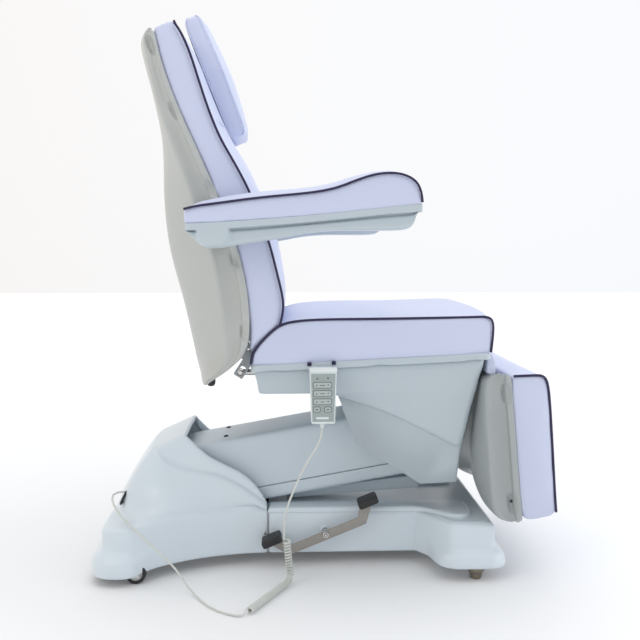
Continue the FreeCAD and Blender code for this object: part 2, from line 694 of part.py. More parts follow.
def back_shell():
    def body(inset):
        wires = []
        for z, front, side, rear in BACK_SHELL:
            gap = inset * 8 if inset else 0
            edge = (front + gap - 1, -HALF + inset)
            step = (side + inset, -HALF + 5 + inset)
            ring = across([edge, step, (rear + inset, -REAR_FLAT + inset)])
            level = z
            if inset and z == BACK_SHELL[0][0]:
                level = z + inset + 3
            if inset and z == BACK_SHELL[-1][0]:
                level = z - inset
            wires.append(level_wire(ring, level))
        return loft(wires)

    shell = body(0).cut(body(WALL))
    shell = shell.cut(side_plate(LIP_LINE + [(-300, 1400), (0, 1400), (0, 560)], -HALF - 5, HALF + 5))
    for y0, y1 in both(LUG_Y + 8, LUG_Y + 28):
        shell = shell.cut(box(-262, -150, y0, y1, 480, 590))
    shell = shell.cut(box(-320, -150, BACK_ROD_Y - 20, BACK_ROD_Y + 20, 470, 580))
    for y0, y1 in both(270, 300):
        shell = shell.cut(along_y(ARMREST_HINGE, PIN_R + 0.5, y0, y1))
    return shell


BACK_TUBE = ((-236.0, 590.0), (-396.0, 1240.0))


def leaning_bar(low, high, half, y0, y1):
    """A straight bar between two side-view points."""
    way = V(high[0] - low[0], 0, high[1] - low[1]).normalize()
    side = V(way.z, 0, -way.x) * half
    a, b = V(low[0], 0, low[1]), V(high[0], 0, high[1])
    corners = [a + side, b + side, b - side, a - side]
    return side_plate([(p.x, p.z) for p in corners], y0, y1)


def leaning_tube(low, high, half, y0, y1):
    return leaning_bar(low, high, half, y0, y1).cut(leaning_bar(low, high, half - 3, y0 + 3, y1 - 3))


def back_frame():
    tubes = [leaning_tube(*BACK_TUBE, 14, y0, y1) for y0, y1 in both(180, 205)]
    foot = (BACK_TUBE[0][0], BACK_TUBE[0][1] + 12)
    crosses = [along_y(foot, 12, -181, 181), along_y((-390, 1216), 10, -181, 181)]
    arms = []
    for y0, y1 in both(LUG_Y + 12, LUG_Y + 22):
        arm = side_plate(
            [(BACK_HINGE[0] + 13, BACK_HINGE[1] - 10), (BACK_HINGE[0] + 13, BACK_HINGE[1] + 8), (-186, 565),
             (-217, 612), (-246, 612), (-246, 580), (BACK_HINGE[0] - 12, BACK_HINGE[1] - 14)],
            y0, y1,
        )
        arms.append(arm.cut(along_y(BACK_HINGE, HINGE_R + RUN, y0 - 1, y1 + 1)))
    ties = [box(-246, -222, y0, y1, 584, 608) for y0, y1 in both(204, LUG_Y + 13)]
    lever = rocker_lever(BACK_HINGE, BACK_DROP, BACK_RANGE, BACK_ROD_Y, 2.4)
    bx, bz = BACK_HINGE
    gusset = [(bx - 30, bz + 2), (bx - 4, bz + 8), (-188, 566), (-222, 612), (-246, 600)]
    webs = [side_plate(gusset, y0, y1) for y0, y1 in lever_spans(BACK_ROD_Y)]
    brackets = [box(-335, -240, y0, y1, 835, 865) for y0, y1 in both(204, 211)]
    return join(tubes + crosses + arms + ties + lever + webs + brackets)


def armrest_pins():
    pins = []
    for side in (-1, 1):
        y0, y1 = sorted((side * 211, side * (ARMREST_IN + 30)))
        pins.append(along_y(ARMREST_HINGE, PIN_R, y0, y1))
    return Part.makeCompound(pins)


# Headrest pillow

HEAD_PEG_Y = (-70.0, 70.0)
HEAD_REAR = ((-338.0, 1384.0), (-224.0, 1097.0))
HEAD_WAY = V(HEAD_REAR[0][1] - HEAD_REAR[1][1], 0, HEAD_REAR[1][0] - HEAD_REAR[0][0]).normalize()
# share of the height, half width, depth
HEAD_SECTIONS = ((0, 96, 38), (0.08, 108, 46), (0.5, 150, 60), (0.92, 108, 50), (1, 96, 44))


def head_peg(y, radius, more):
    """A peg square to the pillow's back, reaching into the back cushion."""
    centre = V((HEAD_REAR[0][0] + HEAD_REAR[1][0]) / 2, y, (HEAD_REAR[0][1] + HEAD_REAR[1][1]) / 2)
    return Part.makeCylinder(radius, 46 + more, centre + HEAD_WAY * 12, HEAD_WAY * -1)


def headrest_pillow():
    """A six-sided pillow, widest and thickest at half its height."""
    top, low = V(HEAD_REAR[0][0], 0, HEAD_REAR[0][1]), V(HEAD_REAR[1][0], 0, HEAD_REAR[1][1])
    wires = []
    for share, half, deep in HEAD_SECTIONS:
        spot = low + (top - low) * share
        soft = deep * 0.3
        side = [(2, -half + 12), (soft, -half), (deep - soft, -half + 4), (deep, -half + 40)]
        ring = [spot + HEAD_WAY * d + V(0, y, 0) for d, y in across(side)]
        wires.append(Part.makePolygon(ring + ring[:1]))
    pillow = loft(wires)
    for y in HEAD_PEG_Y:
        pillow = pillow.cut(head_peg(y, 6, 0))
    return pillow


def headrest_pegs():
    return Part.makeCompound([head_peg(y, 6, 0) for y in HEAD_PEG_Y])


# Armrests

ARMREST_SHELL = [
    (-318, 876), (-296, 838), (-255, 812), (-217, 818), (-128, 834), (-61, 848), (40, 854), (175, 855),
    (216, 890), (214, 912), (-216, 880),
]
PAD_LINE = [
    (-318, 878), (-216, 882), (213, 914), (214, 938), (190, 966), (140, 979), (95, 968), (29, 943),
    (-61, 934), (-216, 920), (-312, 906),
]


def armrest_shell(side):
    y0, y1 = sorted((side * ARMREST_IN, side * ARMREST_OUT))
    shell = side_plate(ARMREST_SHELL, y0, y1)
    hollow = [(-200, 868), (-140, 844), (40, 860), (172, 861), (200, 889), (196, 930), (-200, 900)]
    shell = shell.cut(side_plate(hollow, y0 + WALL, y1 - WALL))
    bore = sorted((side * (ARMREST_IN - 1), side * (ARMREST_IN + 31)))
    return shell.cut(along_y(ARMREST_HINGE, PIN_R + RUN, *bore))


def armrest_pad(side):
    centre = side * (ARMREST_IN + ARMREST_OUT) / 2
    half = (ARMREST_OUT - ARMREST_IN) / 2
    wires = []
    for y in (-half, -half * 0.6, 0, half * 0.6, half):
        crown = 7 * (1 - (y / half) ** 2)
        ring = [V(x, centre + y, z + 0.5 + (crown if i > 3 else 0)) for i, (x, z) in enumerate(PAD_LINE)]
        wires.append(Part.makePolygon(ring + ring[:1]))
    return loft(wires)


# Leg rest

LEG_LIP = [(447, 506), (458, 340), (474, 148)]
LEG_FRONT = [(560, 160), (560, 180), (545, 400), (536, 486), (520, 508)]
LEG_SHELL = ((150, 474, 442, 456), (193, 470, 408, 424), (344, 458, 393, 400), (508, 447, 390, 396))


def leg_cushion():
    wires = []
    for y in (-HALF, -220, -110, 0, 110, 220, HALF):
        share = 1 - (y / HALF) ** 2
        ring = [V(x, y, z) for x, z in LEG_LIP]
        ring += [V(x + 6 * share, y, z) for x, z in LEG_FRONT]
        wires.append(Part.makePolygon(ring + ring[:1]))
    return loft(wires)


def leg_shell():
    def body(inset):
        wires = []
        for z, front, side, rear in LEG_SHELL:
            gap = inset * 8 if inset else 0
            edge = (front + gap - 1, -HALF + inset)
            step = (side + inset, -HALF + 5 + inset)
            ring = across([edge, step, (rear + inset, -REAR_FLAT)])
            level = z + (inset if z == LEG_SHELL[0][0] else 0) - (inset if z == LEG_SHELL[-1][0] else 0)
            wires.append(level_wire(ring, level))
        return loft(wires)

    shell = body(0).cut(body(WALL))
    shell = shell.cut(side_plate(LEG_LIP + [(560, 100), (560, 560), (447, 560)], -HALF - 5, HALF + 5))
    for y0, y1 in both(LUG_Y - 4, LUG_Y + 28):
        shell = shell.cut(box(380, 446, y0, y1, 480, 530))
    return shell.cut(box(370, 430, LEG_ROD_Y - 20, LEG_ROD_Y + 20, 440, 530))


def leg_frame():
    tubes = [leaning_tube((428, 470), (446, 190), 10, y0, y1) for y0, y1 in both(180, 205)]
    crosses = [along_y((428, 462), 9, -181, 181), along_y((444, 210), 9, -181, 181)]
    lx, lz = LEG_HINGE
    arms = []
    for y0, y1 in both(LUG_Y + 12, LUG_Y + 22):
        arm = side_plate([(lx - 12, lz + 12), (lx + 14, lz + 12), (438, 480), (438, 440), (418, 440)], y0, y1)
        arms.append(arm.cut(along_y(LEG_HINGE, HINGE_R + RUN, y0 - 1, y1 + 1)))
    ties = [box(420, 436, y0, y1, 444, 468) for y0, y1 in both(204, LUG_Y + 13)]
    lever = rocker_lever(LEG_HINGE, LEG_DROP, LEG_RANGE, LEG_ROD_Y, 2.6)
    gusset = [(lx - 8, lz + 8), (lx + 10, lz + 8), (436, 462), (420, 462)]
    webs = [side_plate(gusset, y0, y1) for y0, y1 in lever_spans(LEG_ROD_Y)]
    return join(tubes + crosses + arms + ties + lever + webs)


# Handset

CASE_DEEP = 26.0
PANEL_TOP = 507.0
KEY_ROWS = (496.0, 476.5, 457.0)
KEY_LONG = 42.0
KEY_TALL = 13.0
KEY_DEEP = 3.4
SMALL_Z = 438.5
SMALL_X = (-13.0, 13.0)
SMALL_WIDE = 15.0
KEY_GAP = 0.5
FACE_Y = HANDSET_Y - CASE_DEEP


def handset_case():
    x, low, top = HANDSET_X, HANDSET_LOW, HANDSET_TOP
    corners = [(x - 28, low), (x + 28, low), (x + 33.5, top), (x - 33.5, top)]
    case = side_block(corners, [7, 7, 9, 9], FACE_Y, HANDSET_Y)
    tab = box(x - 26, x + 26, HANDSET_Y - 4, -RIM_HALF + 7, 512, top - 4)
    hook = box(x - 26, x + 26, -RIM_HALF + 1, -RIM_HALF + 7, 512, 536)
    exit_point = V(x, HANDSET_Y - CASE_DEEP / 2, low - 12)
    relief = Part.makeCone(4, 6, 12, exit_point)
    case = join([case, tab, hook, relief]).cut(panel_block(7.0, 0.2))
    return case.cut(Part.makeCylinder(CORD_R + 0.15, 10, exit_point))


def panel_block(deep, gap):
    wide, narrow = 27 + gap, 23.5 + gap
    low, high = HANDSET_LOW + 8 - gap, PANEL_TOP + gap
    x = HANDSET_X
    corners = [(x - narrow, low), (x + narrow, low), (x + wide, high), (x - wide, high)]
    return side_block(corners, [5, 5, 5, 5], FACE_Y - 1.5 if gap else FACE_Y - 0.6, FACE_Y + deep)


def key_block(x, z, wide, deep, gap):
    half = wide / 2 + gap
    tall = KEY_TALL / 2 + gap
    corners = [(x - half, z - tall), (x + half, z - tall), (x + half, z + tall), (x - half, z + tall)]
    front = FACE_Y - 1.8 - (2 if gap else 0)
    return side_block(corners, [2, 2, 2, 2], front, FACE_Y + deep)


def handset_panel():
    panel = panel_block(6.8, 0)
    for z in KEY_ROWS:
        panel = panel.cut(key_block(HANDSET_X, z, KEY_LONG, 5.4, KEY_GAP))
    for x in SMALL_X:
        panel = panel.cut(key_block(HANDSET_X + x, SMALL_Z, SMALL_WIDE, 5.4, KEY_GAP))
    return panel


def long_key(z):
    """A key that rocks on the round rib behind its middle."""
    rib = Part.makeCylinder(1.2, KEY_TALL - 2, V(HANDSET_X, FACE_Y + KEY_DEEP, z - KEY_TALL / 2 + 1))
    return join([key_block(HANDSET_X, z, KEY_LONG, KEY_DEEP, 0), rib])


def small_key(x):
    return key_block(HANDSET_X + x, SMALL_Z, SMALL_WIDE, KEY_DEEP, 0)


# Handset cord

COIL_AXIS = [V(-92, -306, 118), V(-86, -290, 10.4), V(-176, -464, 10.4)]
COIL_TURNS = 44


def bent_path(points):
    """Straight runs joined by arcs."""
    edges = []
    at = points[0]
    for i in range(1, len(points) - 1):
        here = points[i]
        before = points[i - 1] - here
        after = points[i + 1] - here
        reach = 0.45 * min(before.Length, after.Length)
        before.normalize()
        after.normalize()
        half = before.getAngle(after) / 2
        bend = reach * math.tan(half)
        middle = here + (before + after).normalize() * (bend / math.sin(half) - bend)
        start, end = here + before * reach, here + after * reach
        edges.append(Part.makeLine(at, start))
        edges.append(Part.Arc(start, middle, end).toShape())
        at = end
    edges.append(Part.makeLine(at, points[-1]))
    return Part.Wire(edges)


def cord_along(points):
    """A round cord on straight runs joined by arcs."""
    ring = Part.Wire(Part.makeCircle(CORD_R, points[0], points[1] - points[0]))
    return bent_path(points).makePipeShell([ring], True, False)


def coil_points():
    """Quarter-turn points of the curled part, wound round its axis."""
    steps = COIL_TURNS * 4
    centres = bent_path(COIL_AXIS).discretize(steps + 1)
    ways = tangents(centres)
    side = V(0, 1, 0).cross(ways[0]).normalize()
    found = []
    for i in range(steps + 1):
        way = ways[i]
        side = (side - way * side.dot(way)).normalize()
        other = way.cross(side)
        angle = math.pi / 2 * i
        found.append(centres[i] + side * (COIL_R * math.cos(angle)) + other * (COIL_R * math.sin(angle)))
    return found


def short_of(end, start):
    """The point just before end on the way from start."""
    return end + (start - end).normalize() * CORD_R * 1.6


def cord_lead():
    """The plain cord from the handset down to the first curl."""
    y = HANDSET_Y - CASE_DEEP / 2
    points = [V(HANDSET_X, y, HANDSET_LOW - 4), V(HANDSET_X, y, 362), V(-48, -320, 306), V(-98, -318, 190)]
    return cord_along(points + [short_of(coil_points()[0], points[-1])])


def cord_tail():
    """The plain cord from the last curl over the floor to the gland."""
    points = [
        V(-190, -486, 2.8), V(-262, -440, 2.8), V(-318, -336, 2.8), V(-362, -306, 60), V(-470, -286, 150),
        V(-528, -174, 164), V(-546, GLAND[1], GLAND[2]), V(GLAND[0] - 2, GLAND[1], GLAND[2]),
    ]
    return cord_along([short_of(coil_points()[-1], points[0])] + points)


def tangents(points):
    found = []
    for i in range(len(points)):
        before = points[max(i - 1, 0)]
        after = points[min(i + 1, len(points) - 1)]
        found.append((after - before).normalize())
    return found


def biarc(p, q, t, u):
    """Two arcs from p to q that leave along t and arrive along u."""
    v = q - p
    s = t + u
    k = 2 * (1 - t.dot(u))
    root = v.dot(s) ** 2 + k * v.dot(v)
    d = (-v.dot(s) + math.sqrt(root)) / k
    a, b = p + t * d, q - u * d
    joint = (a + b) * 0.5
    arcs = []
    for start, corner, end in ((p, a, joint), (joint, b, q)):
        half = (start - corner).getAngle(end - corner) / 2
        reach = (start - corner).Length
        bend = reach * math.tan(half)
        inward = ((start - corner).normalize() + (end - corner).normalize()).normalize()
        arcs.append(Part.Arc(start, corner + inward * (bend / math.sin(half) - bend), end).toShape())
    return arcs


def cord_curl():
    """The curled middle of the cord, an arc after each quarter turn."""
    points = coil_points()
    ways = tangents(points)
    edges = []
    for i in range(len(points) - 1):
        edges += biarc(points[i], points[i + 1], ways[i], ways[i + 1])
    ring = Part.Wire(Part.makeCircle(CORD_R, points[0], ways[0]))
    return Part.Wire(edges).makePipeShell([ring], True, False)


NODES = {
    "rear_base_cover": rear_base_cover,
    "front_base_cover": front_base_cover,
    "cord_gland": cord_gland,
    "base_frame": base_frame,
    "pivot_tower": pivot_tower,
    "castor_forks": castor_forks,
    "rear_hub_near": lambda: castor_hub(-1),
    "rear_hub_far": lambda: castor_hub(1),
    "rear_tyre_near": lambda: castor_tyre(-1),
    "rear_tyre_far": lambda: castor_tyre(1),
    "levelling_feet": levelling_feet,
    "lift_actuator": lift_actuator,
    "lift_rod": lift_rod,
    "control_box": control_box,
    "pedal_bar": pedal_bar,
    "pedal_pads": pedal_pads,
    "pedal_shaft": pedal_shaft,
    "transport_carriage": transport_carriage,
    "transport_wheels": transport_wheels,
    "arm_frame": arm_frame,
    "arm_shafts": arm_shafts,
    "lift_lever": lift_lever,
    "arm_upper_cover": arm_upper_cover,
    "arm_cover_screws": arm_cover_screws,
    "arm_lower_cover": arm_lower_cover,
    "level_link": level_link,
    "seat_cushion": seat_cushion,
    "seat_shell": seat_shell,
    "seat_frame": seat_frame,
    "back_actuator": lambda: flat_actuator(BACK_ROD_Y, BACK_ROD_Z, -112, 20, 70),
    "back_rod": lambda: slide_rod(BACK_ROD_X, BACK_ROD_Y, BACK_ROD_Z, BACK_ROD_X + 130),
    "leg_actuator": lambda: flat_actuator(LEG_ROD_Y, LEG_ROD_Z, 330, 190, 70),
    "leg_rod": lambda: slide_rod(LEG_ROD_X, LEG_ROD_Y, LEG_ROD_Z, LEG_ROD_X - 130),
    "back_cushion": back_cushion,
    "back_shell": back_shell,
    "back_frame": back_frame,
    "armrest_pins": armrest_pins,
    "headrest_pillow": headrest_pillow,
    "headrest_pegs": headrest_pegs,
    "armrest_shell_near": lambda: armrest_shell(-1),
    "armrest_shell_far": lambda: armrest_shell(1),
    "armrest_pad_near": lambda: armrest_pad(-1),
    "armrest_pad_far": lambda: armrest_pad(1),
    "leg_cushion": leg_cushion,
    "leg_shell": leg_shell,
    "leg_frame": leg_frame,
    "handset_case": handset_case,
    "handset_panel": handset_panel,
    "key_back": lambda: long_key(KEY_ROWS[0]),
    "key_leg": lambda: long_key(KEY_ROWS[1]),
    "key_height": lambda: long_key(KEY_ROWS[2]),
    "key_sit": lambda: small_key(SMALL_X[0]),
    "key_lie": lambda: small_key(SMALL_X[1]),
    "cord_lead": cord_lead,
    "cord_curl": cord_curl,
    "cord_tail": cord_tail,
}

os.makedirs("parts", exist_ok=True)
for node, make in NODES.items():
    shape = make()
    shape.exportStep("parts/" + node + ".step")
    state = "valid" if shape.isValid() else "NOT VALID"
    print(node, len(shape.Solids), "solids", state, round(shape.Volume / 1000), "cm3")
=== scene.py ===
"""Looks of the facial bed: upholstery, moulded covers, handset, curled cord and running gear.

Shapes are drawn in millimetres and brought to metres when a piece is finished.
+X points to the foot end, +Y away from the viewer, +Z up. The floor is Z = 0.
"""
import math

import bmesh
import bpy
from mathutils import Matrix, Vector
from mathutils.kdtree import KDTree


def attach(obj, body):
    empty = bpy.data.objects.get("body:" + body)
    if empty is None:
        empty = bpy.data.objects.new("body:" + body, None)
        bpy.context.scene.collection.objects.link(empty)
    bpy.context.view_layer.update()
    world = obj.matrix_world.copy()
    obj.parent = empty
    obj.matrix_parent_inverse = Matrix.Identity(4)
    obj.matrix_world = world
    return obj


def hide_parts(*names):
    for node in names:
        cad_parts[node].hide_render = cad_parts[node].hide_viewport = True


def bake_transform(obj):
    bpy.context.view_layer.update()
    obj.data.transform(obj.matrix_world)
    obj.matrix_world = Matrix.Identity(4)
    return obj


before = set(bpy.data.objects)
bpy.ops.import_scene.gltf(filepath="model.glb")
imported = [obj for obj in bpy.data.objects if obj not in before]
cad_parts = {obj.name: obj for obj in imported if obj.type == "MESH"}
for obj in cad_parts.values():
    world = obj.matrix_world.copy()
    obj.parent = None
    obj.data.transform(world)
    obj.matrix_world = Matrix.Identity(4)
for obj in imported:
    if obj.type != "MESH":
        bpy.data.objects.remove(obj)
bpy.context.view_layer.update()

MM = 0.001
METRE = 1000.0  # millimetres in a metre
HALF = 290.0  # half the width of the cushions
SOFT_STEPS = 20  # frames that a cushion's cover is blown up for
SHARP_EDGE = 30.0  # degrees that an edge turns by before it is rounded
SHARP_SHADE = 40.0  # degrees that an edge turns by before it is shaded sharp
SIDES = ((-1, "near"), (1, "far"))


# Finishes

def noise(tree, place, scale, detail):
    """A cloudy pattern with about this many spots to the metre."""
    node = tree.nodes.new("ShaderNodeTexNoise")
    node.inputs["Scale"].default_value = scale
    node.inputs["Detail"].default_value = detail
    tree.links.new(place, node.inputs["Vector"])
    return node


def bump(tree, height, strength, depth):
    """A raised pattern, depth in millimetres."""
    node = tree.nodes.new("ShaderNodeBump")
    node.inputs["Strength"].default_value = strength
    node.inputs["Distance"].default_value = depth * MM
    tree.links.new(height, node.inputs["Height"])
    return node


def finish(name, colour, rough, drift=0.04, grain=1.2, depth=0.05, patch=90.0, smears=0.15, metallic=0.0):
    """A finish whose tone and gloss drift over patches and that has a fine grain, sizes in millimetres."""
    mat = bpy.data.materials.new(name)
    mat.use_nodes = True
    tree = mat.node_tree
    nodes, links = tree.nodes, tree.links
    shader = nodes["Principled BSDF"]
    shader.inputs["Metallic"].default_value = metallic
    place = nodes.new("ShaderNodeTexCoord").outputs["Object"]

    cloud = noise(tree, place, METRE / patch, 4.0)
    tone = nodes.new("ShaderNodeMix")
    tone.data_type = "RGBA"
    tone.inputs["A"].default_value = (*[c * (1.0 - drift) for c in colour], 1.0)
    tone.inputs["B"].default_value = (*[min(1.0, c * (1.0 + drift)) for c in colour], 1.0)
    links.new(cloud.outputs["Fac"], tone.inputs["Factor"])
    links.new(tone.outputs["Result"], shader.inputs["Base Color"])

    smear = noise(tree, place, 3.3 * METRE / patch, 5.0)
    gloss = nodes.new("ShaderNodeMapRange")
    gloss.inputs["To Min"].default_value = rough * (1.0 - smears)
    gloss.inputs["To Max"].default_value = rough * (1.0 + smears)
    links.new(smear.outputs["Fac"], gloss.inputs["Value"])
    links.new(gloss.outputs["Result"], shader.inputs["Roughness"])

    fine = noise(tree, place, METRE / grain, 3.0)
    raised = bump(tree, fine.outputs["Fac"], 0.5, depth)
    links.new(raised.outputs["Normal"], shader.inputs["Normal"])
    return mat


def leather_finish(name, colour, rough):
    """Coated upholstery leather: pebbled cells, faint stretch lines and a soft drift of tone."""
    mat = finish(name, colour, rough, drift=0.018, grain=0.5, depth=0.03, patch=160.0)
    tree = mat.node_tree
    nodes, links = tree.nodes, tree.links
    place = nodes["Texture Coordinate"].outputs["Object"]
    cells = nodes.new("ShaderNodeTexVoronoi")
    cells.feature = "SMOOTH_F1"
    cells.inputs["Scale"].default_value = 620.0
    links.new(place, cells.inputs["Vector"])
    creases = noise(tree, place, 55.0, 6.0)
    creases.inputs["Distortion"].default_value = 0.8
    pebble = bump(tree, cells.outputs["Distance"], 0.35, 0.12)
    stretch = bump(tree, creases.outputs["Fac"], 0.25, 0.5)
    links.new(nodes["Bump"].outputs["Normal"], pebble.inputs["Normal"])
    links.new(pebble.outputs["Normal"], stretch.inputs["Normal"])
    links.new(stretch.outputs["Normal"], nodes["Principled BSDF"].inputs["Normal"])
    return mat


LEATHER = leather_finish("white_leather", (0.60, 0.645, 0.825), 0.42)
PIPING = leather_finish("navy_piping", (0.014, 0.008, 0.055), 0.36)
MOULDED = {"drift": 0.012, "grain": 0.9, "depth": 0.004, "patch": 140.0, "smears": 0.03}
# Base covers: brighter than the seat shell, partly as the base's own whiter moulding and partly as painted
# light standing for the stronger frontal light on the lower parts.
BASE_SHELL = finish("base_moulding", (0.69, 0.765, 0.82), 0.3, **MOULDED)
SHELL = finish("seat_moulding", (0.51, 0.58, 0.625), 0.3, **MOULDED)
# Back shell: the shell plastic given a warmer, greyer tone as painted warm bounce light and shade at the head
# end, not a different plastic.
BACK_SHELL_WARM_SHADE = finish("moulding_painted_warm_shade", (0.485, 0.50, 0.48), 0.3, **MOULDED)
# Leg shell: the same plastic as the other shells, darkened as painted shade for its sides that face away from
# the light.
LEG_SHELL_PAINTED_SHADE = finish("leg_moulding_painted_shade", (0.38, 0.41, 0.41), 0.34, **MOULDED)
ARM_SKIN = finish(
    "satin_arm_cover", (0.61, 0.69, 0.745), 0.4, drift=0.015, grain=0.7, depth=0.015, smears=0.06
)
CASE = finish("handset_white", (0.74, 0.79, 0.79), 0.36, drift=0.02, grain=0.4, depth=0.03)
PANEL = finish("handset_panel", (0.34, 0.40, 0.39), 0.5, drift=0.02, grain=0.3, depth=0.02)
KEY = finish("key_cap", (0.46, 0.51, 0.50), 0.45, drift=0.02, grain=0.3, depth=0.02)
MARK = finish("key_mark", (0.10, 0.11, 0.12), 0.5, drift=0.05, grain=0.3, depth=0.01)
CORD = finish("cord_jacket", (0.62, 0.64, 0.61), 0.45, drift=0.05, grain=0.6, depth=0.03, patch=40.0)
RUBBER = finish("black_rubber", (0.018, 0.018, 0.020), 0.5, drift=0.25, grain=0.5, depth=0.06, patch=30.0)
HUB = finish("hub_plastic", (0.60, 0.62, 0.62), 0.4, drift=0.03, grain=0.5, depth=0.03)
BAR = finish(
    "pedal_paint", (0.33, 0.31, 0.285), 0.42, drift=0.1, grain=0.5, depth=0.06, patch=25.0, metallic=0.55
)
CHROME = finish(
    "bright_steel", (0.62, 0.61, 0.59), 0.2, drift=0.06, grain=0.4, depth=0.02, patch=20.0, metallic=1.0
)
FOOT = finish(
    "nickel_foot", (0.27, 0.235, 0.19), 0.32, drift=0.12, grain=0.5, depth=0.03, patch=20.0, metallic=0.9
)
FRAME = finish("powder_coat", (0.50, 0.53, 0.55), 0.5, drift=0.12, grain=0.8, depth=0.08)
DARK = finish("dark_plastic", (0.03, 0.031, 0.034), 0.5, drift=0.15, grain=0.6, depth=0.05)


# Making and finishing shapes

def spline(points, steps=8):
    """Points along the smooth line that has these points as its control points."""
    curve = bpy.data.curves.new("line", "CURVE")
    curve.dimensions = "3D"
    curve.resolution_u = steps
    line = curve.splines.new("NURBS")
    line.points.add(len(points) - 1)
    for spot, point in zip(line.points, points):
        spot.co = (*point, 1.0)
    line.order_u = 3
    line.use_endpoint_u = True
    holder = bpy.data.objects.new("line", curve)
    mesh = bpy.data.meshes.new_from_object(holder)
    found = [v.co.copy() for v in mesh.vertices]
    bpy.data.objects.remove(holder)
    bpy.data.meshes.remove(mesh)
    bpy.data.curves.remove(curve)
    return found


def walk(line, count):
    """The given number of points at even steps along a line of points."""
    lengths = [0.0]
    for a, b in zip(line, line[1:]):
        lengths.append(lengths[-1] + (b - a).length)
    found = []
    at = 0
    for i in range(count):
        want = lengths[-1] * i / (count - 1)
        while at < len(line) - 2 and lengths[at + 1] < want:
            at += 1
        span = max(lengths[at + 1] - lengths[at], 1e-9)
        found.append(line[at].lerp(line[at + 1], (want - lengths[at]) / span))
    return found


def heading(line, i):
    """Direction of a line of points at one of them."""
    return (line[min(i + 1, len(line) - 1)] - line[max(i - 1, 0)]).normalized()


def clamped(share):
    """A share held between nought and one."""
    return max(0.0, min(1.0, share))


def eased(share):
    """A share with a soft start and end."""
    return share * share * (3 - 2 * share)


def side_line(points):
    """Side-view points (x, z) as space points in the middle plane."""
    return [Vector((x, 0.0, z)) for x, z in points]


def rectangle(x0, x1, z0, z1):
    """Side-view corners of a rectangle."""
    return [(x0, z0), (x1, z0), (x1, z1), (x0, z1)]


def skin(rows, ring=False):
    """A skin over rows of points; a ring's rows are closed on themselves."""
    if ring:
        rows = [list(row) + [row[0]] for row in rows]
    bm = bmesh.new()
    bmesh.ops.create_grid(bm, x_segments=len(rows[0]) - 1, y_segments=len(rows) - 1, size=1.0)
    spots = sorted(bm.verts, key=lambda v: (round(v.co.y, 5), round(v.co.x, 5)))
    for vert, point in zip(spots, [p for row in rows for p in row]):
        vert.co = point
    if ring:
        bmesh.ops.remove_doubles(bm, verts=bm.verts, dist=0.001)
    return bm


def close_ends(bm):
    """Fills every open edge loop of a skin."""
    rim = [e for e in bm.edges if e.is_boundary]
    bmesh.ops.holes_fill(bm, edges=rim, sides=0)
    bmesh.ops.recalc_face_normals(bm, faces=bm.faces)
    return bm


def mirrored(bm, merge=0.01):
    """Adds the far half of a shape drawn for the near half."""
    bmesh.ops.mirror(bm, geom=bm.verts[:] + bm.edges[:] + bm.faces[:], axis="Y", merge_dist=merge)
    bmesh.ops.recalc_face_normals(bm, faces=bm.faces)
    return bm


def slab(points, shift):
    """A flat outline drawn out by a shift."""
    bm = bmesh.new()
    face = bm.faces.new([bm.verts.new(p) for p in points])
    made = bmesh.ops.extrude_face_region(bm, geom=[face])
    moved = [g for g in made["geom"] if isinstance(g, bmesh.types.BMVert)]
    bmesh.ops.translate(bm, vec=shift, verts=moved)
    bmesh.ops.recalc_face_normals(bm, faces=bm.faces)
    return bm


def block(points, y0, y1):
    """A plate drawn in side view, as thick as from y0 to y1."""
    return slab([(x, y0, z) for x, z in points], (0.0, y1 - y0, 0.0))


def turned(profile, centre, axis, steps=48):
    """A solid of revolution: profile is (radius, place along axis), axis is X, Y or Z."""
    bm = bmesh.new()
    verts = [bm.verts.new((r, 0.0, t)) for r, t in profile]
    edges = [bm.edges.new(pair) for pair in zip(verts, verts[1:])]
    bmesh.ops.spin(
        bm, geom=verts + edges, cent=(0, 0, 0), axis=(0, 0, 1), angle=2 * math.pi, steps=steps, use_merge=True
    )
    bmesh.ops.remove_doubles(bm, verts=bm.verts, dist=0.001)
    bmesh.ops.recalc_face_normals(bm, faces=bm.faces)
    turn = {"X": Matrix.Rotation(math.pi / 2, 4, "Y"), "Y": Matrix.Rotation(-math.pi / 2, 4, "X")}
    place = Matrix.Translation(centre) @ turn.get(axis, Matrix.Identity(4))
    bmesh.ops.transform(bm, matrix=place, verts=bm.verts)
    return bm


def bevel(bm, edges, width, segments):
    """Rounds the given edges."""
    bmesh.ops.bevel(
        bm, geom=edges, offset=width, affect="EDGES", segments=segments, profile=0.5, material=-1,
        clamp_overlap=True,
    )
    return bm


def soften(bm, width, segments=3):
    """Rounds every sharp edge."""
    sharp = [e for e in bm.edges if e.is_manifold and math.degrees(e.calc_face_angle(0.0)) > SHARP_EDGE]
    return bevel(bm, sharp, width, segments)


def add(bm, other):
    """Puts a second shape into the first one."""
    mesh = bpy.data.meshes.new("extra")
    other.to_mesh(mesh)
    other.free()
    bm.from_mesh(mesh)
    bpy.data.meshes.remove(mesh)
    return bm


def piece(name, bm, material, body, nodes=(), levels=0, wall=0.0):
    """A finished object on a body: the shape goes to metres, gets a wall and is smoothed."""
    bmesh.ops.scale(bm, vec=(MM, MM, MM), verts=bm.verts)
    mesh = bpy.data.meshes.new(name)
    bm.to_mesh(mesh)
    bm.free()
    mesh.materials.append(material)
    mesh.shade_smooth()
    if not levels:
        mesh.set_sharp_from_angle(angle=math.radians(SHARP_SHADE))
    obj = bpy.data.objects.new(name, mesh)
    bpy.context.collection.objects.link(obj)
    if wall:
        solid = obj.modifiers.new("wall", "SOLIDIFY")
        solid.thickness = wall * MM
        solid.offset = -1.0
        solid.use_even_offset = False
    if levels:
        smooth = obj.modifiers.new("smooth", "SUBSURF")
        smooth.levels = levels
        smooth.render_levels = levels
    if body:
        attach(obj, body)
    if nodes:
        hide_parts(*nodes)
    return obj


